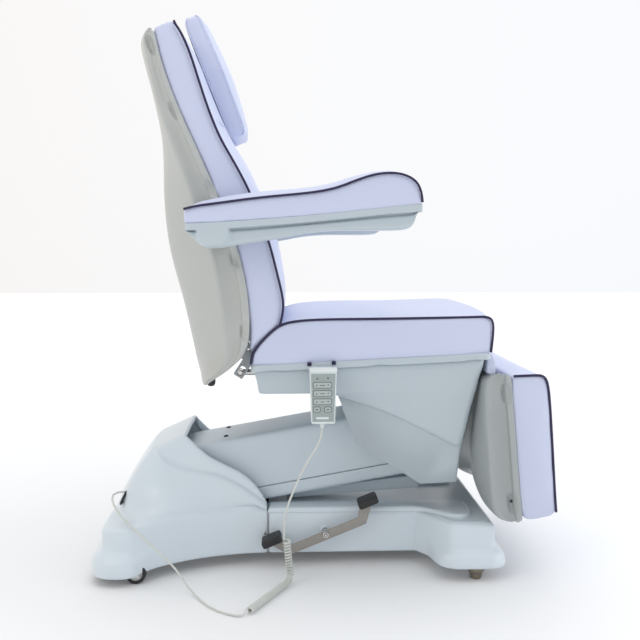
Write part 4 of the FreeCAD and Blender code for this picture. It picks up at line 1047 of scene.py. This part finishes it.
def seat_shell():
    """Seat shell: rim band, inward-sloping tray that runs down to a soft curved crease, inset skirt."""
    spots = [(i + 0.5) / SIDE_STEPS for i in range(SIDE_STEPS)]
    crease_line = spline(side_line(CREASE), steps=10)
    rows = []
    for inset, drop in RIM_ROWS:
        row = []
        rear = SEAT_REAR_LOW[0] + inset
        front = SEAT_FRONT_LOW[0] - inset
        for x, y in half_ring(rear, front, RIM_HALF - inset, 12.0, spots):
            lift = rim_scoop(x, y) if drop < -14 else 0.0
            row.append(Vector((x, y, rim_height(x) + drop + lift)))
        rows.append(row)
    rim_foot = rows[-1]
    for rear, front, inset, share in TRAY_ROWS:
        row = []
        for i, (x, y) in enumerate(half_ring(rear, front, RIM_HALF - inset, 14.0, spots)):
            high = rim_foot[i].z
            low = line_height(crease_line, min(x * 345 / front, 350))
            if share <= 1.0:
                z = high + (TRAY_BOTTOM - high) * share
            else:
                z = TRAY_BOTTOM + (low - TRAY_BOTTOM) * (share - 1.0)
            row.append(Vector((x, y, z)))
        rows.append(row)
    bm = mirrored(skin(rows))
    openings = [f for f in bm.faces if through_wall(f.calc_center_median())]
    bmesh.ops.delete(bm, geom=openings, context="FACES")
    outward(bm, Vector((112, 0, 500)))
    moulding("seat_shell_moulding", bm, SHELL, "seat", "seat_shell")
    floor = soften(block(rectangle(-150, 345, 464, 468), -246, 246), 1.0)
    piece("seat_shell_floor", floor, SHELL, "seat")

    skirt = block(SKIRT, -SKIRT_HALF, SKIRT_HALF)
    open_faces = [f for f in skirt.faces if abs(f.normal.y) < 0.5 and f.normal.x < 0.5]
    bmesh.ops.delete(skirt, geom=open_faces, context="FACES")
    bevel(skirt, [e for e in skirt.edges if e.is_manifold], 10.0, 5)
    outward(skirt, Vector((220, 0, 360)))
    piece("seat_skirt", skirt, SHELL, "seat", wall=6.0)
    slots = bmesh.new()
    for x in (-37.0, 21.0):
        top = rim_height(x)
        add(slots, soften(block(rectangle(x - 5, x + 5, top - 7, top + 1.5), -301.2, -294), 1.2))
    piece("seat_hook_slots", slots, PIPING, "seat")


RIM_TOP = [(-317, 871), (-218, 875), (-65, 887), (68, 900), (216, 917)]
ARM_UNDER = [
    (-318, 853), (-309, 849), (-298, 836), (-284, 820), (-264, 814), (-233, 816), (-197, 823), (-109, 836),
    (-43, 850), (24, 856), (131, 855), (170, 856), (188, 860), (198, 870), (201, 884), (203, 900),
]
# Share down the armrest's body, how far it tucks under, drop below the rim
BODY_STEPS = (
    (0.0, 2.0, 0.0), (0.0, 7.0, 0.8), (0.0, 9.0, 2.4), (0.07, 7.0, 2.4), (0.11, 1.0, 2.4),
    (0.25, -0.3, 2.4), (0.5, 0.0, 2.4), (0.68, 1.4, 1.6), (0.84, 5.0, 1.0), (0.97, 13.0, 0.3),
)
GROOVE = 12.0
RIM_BAND = 16.0
ARMREST_REAR = -318.0
ARMREST_LENGTH = 534.0
ARMREST_STEPS = 150
HOUSING_REAR = -296.0
HOUSING_FRONT = -214.0
HOUSING_EDGE = 7.0


def housing(x, share):
    """One inside the flush housing of the pivot, nought outside it; the housing narrows to a round bottom."""
    bend = 20.0 * share ** 2.5
    rear = clamped((x - HOUSING_REAR - bend) / HOUSING_EDGE)
    front = clamped((HOUSING_FRONT - bend - x) / HOUSING_EDGE)
    return eased(rear * front)


def armrest_shells():
    """Armrest shells: rim under the pad, groove, inset body and the round housing of the pivot."""
    under = spline(side_line(ARM_UNDER), steps=10)
    rim = spline(side_line(RIM_TOP), steps=6)
    half = (ARMREST_OUT - ARMREST_IN) / 2
    rows = []
    for i in range(ARMREST_STEPS):
        x = ARMREST_REAR + ARMREST_LENGTH * i / (ARMREST_STEPS - 1)
        top = line_height(rim, x)
        edge = top - RIM_BAND - 3 * max(0.0, (x - 120) / 96)
        low = min(line_height(under, x), edge - 1.0)
        end = max(0.0, (x - 202) / 16, (-308 - x) / 10)
        taper = 1.0 - 0.08 * end * end
        tall = edge - low
        side = [(-half * 0.6, top), (-half + 6, top), (-half + 3.4, top - 0.8), (-half + 2.6, top - 3)]
        side += [(-half + 1.4, top - 8), (-half, edge + 2.5), (-half + 0.6, edge + 0.4)]
        for share, tuck, drop in BODY_STEPS:
            groove = GROOVE * (1.0 - housing(x, share))
            fade = 1.0 if share > 0.2 else groove / GROOVE
            y = -half + 0.6 + groove * (0.2 + 0.8 * min(1.0, drop / 2.0)) + tuck * fade
            side.append((y, edge - min(drop, tall * 0.2) - tall * share))
        side.append((-half * 0.3, low))
        row = [Vector((x, y * taper, z)) for y, z in side]
        row += [Vector((x, -p.y, p.z)) for p in reversed(row)]
        rows.append(row)
    bm = close_ends(skin(rows, ring=True))
    for side, word in SIDES:
        copy = bm.copy()
        bmesh.ops.translate(copy, vec=(0, side * ARMREST_MIDDLE, 0), verts=copy.verts)
        node = "armrest_shell_" + word
        piece(node + "_moulding", copy, SHELL, "armrest_" + word, [node], levels=1)
    bm.free()


back_shell()
leg_shell()
seat_shell()
armrest_shells()


# Base covers

PEDAL_PIVOT = Vector((7.5, -178.0, 90.0))
FLANGE_GROWTH = 27.0
# Rear cover's side: plan of the wall, its lower edge, flange growth, its top, shoulder, outer and inner crest
REAR_STOPS = (
    ((-140, -150), 31, 0, 137, (-141, -138, 152), (-143, 155), (-141, 158)),
    ((-190, -153), 31, 0, 139, (-190, -141, 153), (-173, 178), (-159, 190)),
    ((-250, -163), 30, 0, 141, (-249, -150, 153), (-209, 204), (-182, 218)),
    ((-310, -182), 30, 0, 141, (-307, -168, 153), (-246, 225), (-209, 240)),
    ((-370, -212), 29, 0, 140, (-364, -197, 153), (-282, 237), (-246, 258)),
    ((-420, -243), 27, 1, 139, (-415, -226, 151), (-327, 244), (-291, 282)),
    ((-448, -259), 25, 12, 136, (-443, -240, 147), (-352, 250), (-310, 299)),
    ((-470, -271), 22, 24, 133, (-466, -240, 142), (-378, 259), (-327, 315)),
    ((-486, -271), 20, 27, 131, (-482, -226, 138), (-394, 269), (-337, 326)),
    ((-505, -271), 20, 27, 130, (-498, -200, 135), (-408, 281), (-343, 332)),
)
# Rear cover's end: plan of the wall, top of the wall, deck by the hump, four points up the rear face, crest
REAR_ENDS = (
    ((-529, -268), 129, (-517, -152, 134),
     ((-512, -120, 146), (-508, -122, 174), (-492, -131, 217), (-466, -137, 260)), (-432, -140, 302)),
    ((-547, -250), 128, (-527, -106, 134),
     ((-521, -98, 148), (-514, -104, 178), (-498, -114, 219), (-470, -122, 263)), (-437, -127, 304)),
    ((-549, -150), 128, (-537, -74, 135),
     ((-533, -68, 150), (-519, -72, 182), (-501, -78, 220), (-471, -84, 267)), (-441, -88, 306)),
    ((-549, -75), 128, (-542, -36, 136),
     ((-538, -34, 151), (-521, -36, 184), (-502, -39, 221), (-472, -42, 269)), (-443, -44, 307)),
    ((-549, 0), 128, (-543, 0, 136),
     ((-539, 0, 152), (-522, 0, 185), (-502, 0, 221), (-472, 0, 270)), (-444, 0, 308)),
)
# Across the bed and lift over the crest's height: the two rolled edges
OUTER_ROLL = ((-150.5, -5), (-145, 3), (-139.4, 6))
INNER_ROLL = ((-135.5, -2), (-130, 2.5), (-125.5, -5), (-124.5, -26))
GLAND_PROFILE = [(5, 2), (8, 2.6), (10.5, 1.5), (11.5, -1.5), (10.5, -4), (5, -4), (5, 2)]
HUMP_LIP = (-352.0, 341.0)


def skirt_wall(place, out, low, grow, top):
    """Levels of a base wall: rounded lower edge, flange as wide as its growth, fillet, wall, rounded top."""
    levels = [(grow - 3, low), (grow, low + 5), (grow, 45), (grow * 0.92, 59), (grow * 0.62, 70)]
    levels += [(grow * 0.16, 77), (0, 86), (0, 108), (0, top - 5), (-0.6, top), (-4, top + 5)]
    return [Vector((place[0] + out.x * reach, place[1] + out.y * reach, z)) for reach, z in levels]


def bent(a, b, c, shares):
    """Points on the curve from a to c that is pulled toward b."""
    return [a.lerp(b, s).lerp(b.lerp(c, s), s) for s in shares]


def rear_outward(plan):
    """Outward directions of the rear cover's walls, walked from the spine to the rear middle."""
    line = [Vector(place) for place in plan]
    ways = [heading(line, i) for i in range(len(line))]
    found = [Vector((-way.y, way.x)) for way in ways]
    found[-1] = Vector((-1.0, 0.0))
    return found


def along_rows(columns, steps):
    """Smooths rows that run across all the columns and gives the finer columns back."""
    rows = [spline(row, steps=steps) for row in zip(*columns)]
    return list(zip(*rows))


def rear_base_cover():
    """Rear base cover: flanged foot block, scooped side, hump with a double rolled edge; its small parts."""
    plan = [stop[0] for stop in REAR_STOPS] + [end[0] for end in REAR_ENDS]
    outs = rear_outward(plan)
    columns = []
    for (place, low, grow, top, shoulder, outer, inner), out in zip(REAR_STOPS, outs):
        column = skirt_wall(place, out, low, grow, top)
        shoulder = Vector(shoulder)
        crest = Vector((outer[0], -152.0, outer[1] - 14))
        foot_y = min(-150.0, shoulder.y * 0.35 - 96)
        foot = Vector((shoulder.x * 0.55 + crest.x * 0.45, foot_y, shoulder.z + 6))
        column += [shoulder] + bent(shoulder, foot, crest, (0.05, 0.15, 0.3, 0.5, 0.7, 0.86, 0.96))
        column += [Vector((outer[0], y, outer[1] + lift)) for y, lift in OUTER_ROLL]
        between = (outer[1] + inner[1]) / 2
        low_edge = Vector((outer[0], -138.8, min(outer[1] + 6, between)))
        high_edge = Vector((inner[0], -138.2, max(inner[1] - 9, between)))
        column += [low_edge.lerp(high_edge, 0.4), high_edge]
        column += [Vector((inner[0], y, inner[1] + lift)) for y, lift in INNER_ROLL]
        columns.append(column)
    for (place, top, deck, face, crest), out in zip(REAR_ENDS, outs[len(REAR_STOPS):]):
        column = skirt_wall(place, out, 20, FLANGE_GROWTH, top)
        face = [Vector(p) for p in face]
        crest = Vector(crest)
        lip = Vector((HUMP_LIP[0], crest.y * 0.975, HUMP_LIP[1] + 3 * (1 - (crest.y / 140) ** 2)))
        inset = Vector((place[0] - out.x * 12, place[1] - out.y * 12, top + 5))
        column += [inset, Vector(deck)] + face + [face[-1].lerp(crest, 0.6), face[-1].lerp(crest, 0.9), crest]
        column += [crest.lerp(lip, s) for s in (0.05, 0.12, 0.5, 0.94)]
        column += [lip, lip + Vector((4, 0, -3)), lip + Vector((4, 0, -15)), lip + Vector((-5, 0, -19))]
        columns.append(column)
    fine = along_rows(columns, 5)
    bm = mirrored(skin([list(row) for row in zip(*fine)]))
    outward(bm, Vector((-330, 0, 140)))
    moulding("rear_base_moulding", bm, BASE_SHELL, "base", "rear_base_cover")
    screw = turned([(0, -4.4), (2.8, -4.0), (4.6, -2.2), (5.0, 1.0)], (-149, -151, 86), "Y", 20)
    piece("rear_base_screw", screw, CHROME, "base")
    strips = bmesh.new()
    for near, far in ((-145, -70), (70, 145)):
        add(strips, soften(block(rectangle(-152, -128, 34, 140), near, far), 1.5))
    piece("base_joint_strip", strips, FRAME, "base")
    ring = turned(GLAND_PROFILE, (0, 0, 0), "X", 32)
    bmesh.ops.scale(ring, vec=(-1.0, 1.0, 1.9), verts=ring.verts)
    bmesh.ops.recalc_face_normals(ring, faces=ring.faces)
    spot = Matrix.Translation((-514, -113, 172)) @ Matrix.Rotation(math.radians(26), 4, "Y")
    bmesh.ops.transform(ring, matrix=spot, verts=ring.verts)
    piece("gland_ring", ring, RUBBER, "base", ["cord_gland"])


SPINE_HALF = 150.0
FOOT_PLAN = [
    (241, -151), (262, -182), (280, -214), (297, -243), (316, -268), (345, -270), (390, -270), (424, -270),
    (424, -232), (424, -120), (424, 0),
]
DECK_EDGE = [
    (-139, -137), (238, -137), (250, -142), (264, -163), (284, -199), (302, -231), (322, -254), (348, -257),
    (390, -257), (408, -253), (411, -235), (411, 0), (-139, 0),
]
DECK_TOP = 141.0
STRIP_REAR = -139.0
STRIP_OUT = -149.2
STRIP_IN = -88.0
STRIP_LOW = 138.0
STRIP_LINE = [
    (236, STRIP_OUT), (256, -158), (280, -178), (302, -203), (322, -222), (345, -229), (362, -222),
    (374, -203), (379, -170), (380, -130), (378, -98), (366, -89), (340, STRIP_IN),
]
COLLAR_PROFILE = [(8, 2), (8, -4), (10, -5.5), (12.5, -4.5), (13.5, -1.5), (13.5, 2)]


def front_base_cover():
    """Front base cover: straight spine, flared I-foot with a flange, rim strips with tongues, collar."""
    columns = []
    for share in [i / 24 for i in range(24)] + [0.985, 0.997]:
        place = (-137.5 + 377.5 * share, -SPINE_HALF)
        column = skirt_wall(place, Vector((0, -1)), 31, 0, 134)
        columns.append(column + [Vector((place[0], -SPINE_HALF + 14, 142))])
    line = walk(spline([Vector((x, y, 0)) for x, y in FOOT_PLAN], steps=12), 70)
    for i, here in enumerate(line):
        way = heading(line, i)
        out = Vector((way.y, -way.x))
        if i == len(line) - 1:
            out = Vector((1.0, 0.0))
        share = eased(clamped((i - 5) / 14))
        column = skirt_wall((here.x, here.y), out, 31 + 2 * share, 28 * share, 131 + 3 * (1 - share))
        columns.append(column + [Vector((here.x - out.x * 15, here.y - out.y * 15, 141.5))])
    bm = mirrored(skin([list(row) for row in zip(*columns)]))
    outward(bm, Vector((200, 0, 60)))
    moulding("front_base_moulding", bm, BASE_SHELL, "base", "front_base_cover")

    deck = mirrored(slab([(x, y, DECK_TOP) for x, y in DECK_EDGE], (0, 0, -5)))
    piece("front_base_deck", deck, BASE_SHELL, "base")

    outline = spline([Vector((x, y, STRIP_LOW)) for x, y in STRIP_LINE], steps=6)
    outline.insert(0, Vector((STRIP_REAR, STRIP_OUT, STRIP_LOW)))
    outline.append(Vector((STRIP_REAR, STRIP_IN, STRIP_LOW)))
    strips = slab(outline, (0, 0, 12.5))
    bevel(strips, [e for e in strips.edges if all(v.co.z > 150 for v in e.verts)], 8.0, 5)
    mirrored(strips, 0.0)
    piece("front_base_rim", strips, BASE_SHELL, "base")
    collar = turned(COLLAR_PROFILE, (PEDAL_PIVOT.x, -SPINE_HALF, PEDAL_PIVOT.z), "Y", 40)
    piece("pedal_collar", collar, BASE_SHELL, "base")


# Lift arm covers

ARM_PIVOT = (-300.0, 0.0, 218.0)
ARM_LEAN = math.atan2(97.0, 550.0)
UPPER_SECTION = (
    (-100, -49.3), (-100, -46), (-100, 30), (-100, 70), (-99.2, 79), (-96.5, 85), (-92, 88), (-84, 89.6),
    (-40, 91), (0, 91.4),
)
LOWER_SECTION = (
    (-99.6, -51), (-99.6, -54), (-99.6, -74), (-98, -81), (-94, -85), (-87, -86.4), (-40, -86.8), (0, -87),
)
ARM_SCREW = [(1.6, 0.9), (3.8, 2.6), (5.0, 2.4), (6.0, 1.4), (6.4, 0.0), (6.4, -1.0)]


def laid_on_arm(bm):
    """Turns a shape drawn along the level arm to the arm's own lean."""
    turn = Matrix.Translation(ARM_PIVOT) @ Matrix.Rotation(-ARM_LEAN, 4, "Y")
    bmesh.ops.transform(bm, matrix=turn, verts=bm.verts)
    return bm


def arm_skin(section, rear, front_low, front_high, low, high):
    """One arm cover: a section drawn along the arm with a sloping front end."""
    rows = []
    for share in [i / 30 for i in range(31)]:
        row = []
        for y, w in section:
            front = front_low + (front_high - front_low) * (w - low) / (high - low)
            row.append(Vector((rear + (front - rear) * share, y, w)))
        rows.append(row)
    return outward(mirrored(skin(rows)), Vector((230, 0, 20 if high > 0 else -40)))


def arm_covers():
    """Upper and lower covers of the lift arm, the plate seen under it and the two cover screws."""
    upper = arm_skin(UPPER_SECTION, -60, 537, 462, -49, 91)
    lower = arm_skin(LOWER_SECTION, 86, 520, 536, -87, -51)
    for word, bm in (("upper", upper), ("lower", lower)):
        node = "arm_" + word + "_cover"
        piece("arm_" + word + "_skin", laid_on_arm(bm), ARM_SKIN, "lift_arm", [node], wall=3.0)
    inner = block([(-92, 145), (266, 172), (262, 206), (-60, 168)], -44, 44)
    piece("arm_inner_plate", soften(inner, 3.0), ARM_SKIN, "lift_arm")
    screws = bmesh.new()
    for y in (-58, 58):
        add(screws, turned(ARM_SCREW, (66, y, 91), "Z", 28))
        add(screws, turned([(0, 0.6), (2.2, 0.8)], (66, y, 91), "Z", 6))
    piece("arm_screw_heads", laid_on_arm(screws), DARK, "lift_arm", ["arm_cover_screws"])


# Handset

CASE_MIDDLE = -5.5
CASE_FACE = -332.0
CASE_BACK = -306.0
KEY_MIDDLE = -7.5
KEY_ROWS = (("key_back", 496.0), ("key_leg", 476.5), ("key_height", 457.0))
SMALL_KEYS = (("key_sit", -13.0), ("key_lie", 13.0))
SMALL_Z = 438.5
KEY_FACE = -334.6
KEY_FOOT = -332.2


def plate(x0, x1, z0, z1, y0, y1, width, round_corners=0.0):
    """A flat block facing the viewer with soft edges and, where asked, round corners."""
    bm = block(rectangle(x0, x1, z0, z1), y0, y1)
    if round_corners:
        standing = [e for e in bm.edges if abs(e.verts[0].co.y - e.verts[1].co.y) > 0.5 * abs(y1 - y0)]
        bevel(bm, standing, round_corners, 5)
    return soften(bm, width, 2)


def mark(points, y):
    """A small raised mark on a key or on the panel."""
    return block(points, y - 0.25, y + 0.4)


def arrow(x, z, half, tall):
    """Side-view corners of an arrow head that points up, or down where tall is below nought."""
    return [(x - half, z - tall / 2), (x + half, z - tall / 2), (x, z + tall / 2)]


def handset():
    """Wired handset: white case, grey key panel, three rocking keys, two small keys and their marks."""
    x = CASE_MIDDLE
    body = block([(x - 28, 403), (x + 28, 403), (x + 32, 528), (x - 32, 528)], CASE_FACE, CASE_BACK)
    case = soften(body, 5.0, 4)
    add(case, plate(x - 33, x + 33, 525, 537, CASE_FACE - 1.5, CASE_BACK, 3.0))
    profile = [(0, -9.5), (3.2, -9.5), (3.8, -8.5), (3.6, -7), (4.4, -6.5), (4.2, -5), (5.2, -4.5), (5.2, 3)]
    add(case, turned(profile, (KEY_MIDDLE, -319, 402), "Z", 24))
    piece("handset_body", case, CASE, "seat", ["handset_case"])

    face = CASE_FACE - 0.9
    panel = block([(x - 25.5, 409), (x + 25.5, 409), (x + 29, 523), (x - 29, 523)], face, CASE_FACE + 1)
    piece("handset_key_panel", soften(panel, 1.2, 2), PANEL, "seat", ["handset_panel"])
    marks = bmesh.new()
    for side, tip in ((-12, 4.5), (13, -4.5)):
        add(marks, mark(arrow(KEY_MIDDLE + side, 512, 3.2, tip), face))
    outlines = bmesh.new()
    rises = (face - 0.25, face + 0.5, 0.2)
    for _, z in KEY_ROWS:
        add(outlines, plate(KEY_MIDDLE - 22, KEY_MIDDLE + 22, z - 7.4, z + 7.4, *rises, 4.0))
    for _, side in SMALL_KEYS:
        at = KEY_MIDDLE + side
        add(outlines, plate(at - 8.4, at + 8.4, SMALL_Z - 7.0, SMALL_Z + 7.0, *rises, 3.0))
    piece("handset_key_outlines", outlines, MARK, "seat")
    piece("handset_marks", marks, MARK, "seat")
    slot = plate(KEY_MIDDLE - 15, KEY_MIDDLE + 15, 415.5, 420.5, face - 0.4, face + 0.5, 0.3, 2.0)
    piece("handset_light_strip", slot, CASE, "seat")
    for body_name, z in KEY_ROWS:
        key = plate(KEY_MIDDLE - 20.6, KEY_MIDDLE + 20.6, z - 6.1, z + 6.1, KEY_FACE, KEY_FOOT, 0.8, 3.2)
        piece(body_name + "_cap", key, KEY, body_name, [body_name])
        signs = bmesh.new()
        for side, tip in ((-13.5, 3.6), (13.5, -3.6)):
            add(signs, mark(arrow(KEY_MIDDLE + side, z, 2.4, tip), KEY_FACE))
        wide = 4.0 + (z - 457) * 0.06
        add(signs, mark(rectangle(KEY_MIDDLE - wide, KEY_MIDDLE + wide, z - 1, z + 0.6), KEY_FACE))
        piece(body_name + "_signs", signs, MARK, body_name)
    for body_name, side in SMALL_KEYS:
        at = KEY_MIDDLE + side
        key = plate(at - 7.0, at + 7.0, SMALL_Z - 5.6, SMALL_Z + 5.6, KEY_FACE, KEY_FOOT, 0.8, 2.4)
        piece(body_name + "_cap", key, KEY, body_name, [body_name])
        sign = mark(rectangle(at - 3, at + 3, SMALL_Z - 1.5, SMALL_Z + 1.2), KEY_FACE)
        piece(body_name + "_sign", sign, MARK, body_name)


# Pedal, castors and levelling feet

PEDAL_TILT = math.radians(22.0)
PAD_REACH = 131.0
PEDAL_DROP = 2.0
PAD_LIFT = 42.0
PAD_FACE = -213.0
PAD_BACK = -158.0
BAR_OUTLINE = [
    (-105, -12), (105, -12), (134, 25), (128, 34), (106, 34), (92, 11), (-92, 11), (-106, 34), (-128, 34),
    (-134, 25),
]
CAP_PROFILE = [(0, -9), (2.8, -9), (3.0, -6.5), (5.2, -8.6), (7.4, -8.2), (8.6, -6.6), (9, -4), (9, 0)]


def pedal():
    """Rocking pedal: bent painted bar with a rubber pad on each end, held by a capped shaft."""
    level = PEDAL_PIVOT.z - PEDAL_DROP
    bar = block([(PEDAL_PIVOT.x + u, level + w) for u, w in BAR_OUTLINE], -185.5, -179.5)
    soften(bar, 1.4)
    tilt = Matrix.Rotation(-PEDAL_TILT, 4, "Y")
    turn = Matrix.Translation(PEDAL_PIVOT) @ tilt @ Matrix.Translation(-PEDAL_PIVOT)
    bmesh.ops.transform(bar, matrix=turn, verts=bar.verts)
    piece("pedal_bar_plate", bar, BAR, "pedal", ["pedal_bar"])
    pads = bmesh.new()
    for side in (-1, 1):
        x = PEDAL_PIVOT.x + side * PAD_REACH
        z = level + PAD_LIFT
        add(pads, soften(block(rectangle(x - 26, x + 26, z - 9, z + 11), PAD_FACE, PAD_BACK), 6.5, 5))
    bmesh.ops.transform(pads, matrix=turn, verts=pads.verts)
    piece("pedal_pad_covers", pads, RUBBER, "pedal", ["pedal_pads"])
    cap = turned(CAP_PROFILE, (PEDAL_PIVOT.x, -184, PEDAL_PIVOT.z), "Y", 32)
    piece("pedal_screw_cap", cap, CHROME, "pedal")


CASTOR_X = -460.0
CASTOR_Y = 260.0
CASTOR_R = 25.0
AXLE_HALF = 250.0
FOOT_X = 376.0
TYRE_HALF = [(16.5, -10), (21.5, -10.6), (24, -9.6), (25, -6.5)]
HUB_HALF = [
    (0, -9.5), (3.2, -9.3), (4.4, -8.2), (5.2, -6.6), (8, -6.2), (14, -7.8), (16.2, -9.4), (16.6, -8.6),
]
FOOT_PROFILE = [
    (0, 0.2), (12.0, 0.2), (13.6, 1.2), (14.2, 4), (16.2, 14), (17.6, 18), (21.0, 21), (22, 23), (22, 30),
    (20.8, 31.2), (8, 31.6), (6.2, 33), (6.2, 50),
]


def whole(profile):
    """A turned profile with its mirror image behind it."""
    return profile + [(r, -t) for r, t in reversed(profile)]


def running_gear():
    """Two rear castor wheels and two front levelling feet."""
    feet = bmesh.new()
    for side, word in SIDES:
        centre = (CASTOR_X, side * CASTOR_Y, CASTOR_R)
        body = "rear_wheel_" + word
        tyre = turned(whole(TYRE_HALF) + TYRE_HALF[:1], centre, "Y", 48)
        piece("castor_tyre_" + word, tyre, RUBBER, body, ["rear_tyre_" + word])
        hub = turned(whole(HUB_HALF), centre, "Y", 40)
        piece("castor_hub_" + word, hub, HUB, body, ["rear_hub_" + word])
        add(feet, turned(FOOT_PROFILE, (FOOT_X, side * CASTOR_Y, 0), "Z", 40))
    piece("levelling_foot_pads", feet, FOOT, "base", ["levelling_feet"])


# Mechanism inside the covers

STEEL_NODES = (
    "lift_rod", "back_rod", "leg_rod", "arm_shafts", "armrest_pins", "headrest_pegs", "pedal_shaft",
    "castor_forks",
)
FRAME_NODES = (
    "pivot_tower", "arm_frame", "lift_lever", "level_link", "seat_frame", "back_frame", "leg_frame",
    "transport_carriage",
)
DARK_NODES = ("lift_actuator", "back_actuator", "leg_actuator", "control_box", "transport_wheels")


def rear_axle_frame():
    """The base frame with the ends of its rear cross tube cut to the inside of the cover."""
    bm = bmesh.new()
    bm.from_mesh(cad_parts["base_frame"].data)
    bmesh.ops.scale(bm, vec=(1 / MM, 1 / MM, 1 / MM), verts=bm.verts)
    bmesh.ops.remove_doubles(bm, verts=bm.verts, dist=0.01)
    for vert in bm.verts:
        if vert.co.x < -380:
            vert.co.y = max(-AXLE_HALF, min(AXLE_HALF, vert.co.y))
    piece("base_frame_finished", bm, FRAME, "base", ["base_frame"])


def mechanism():
    """Finishes for the mechanism inside: bright rods and pins, painted frames, dark motors and wheels."""
    rear_axle_frame()
    for names, material in ((STEEL_NODES, CHROME), (FRAME_NODES, FRAME), (DARK_NODES, DARK)):
        for name in names:
            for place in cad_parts[name].material_slots:
                place.material = material


rear_base_cover()
front_base_cover()
arm_covers()
handset()
pedal()
running_gear()
mechanism()
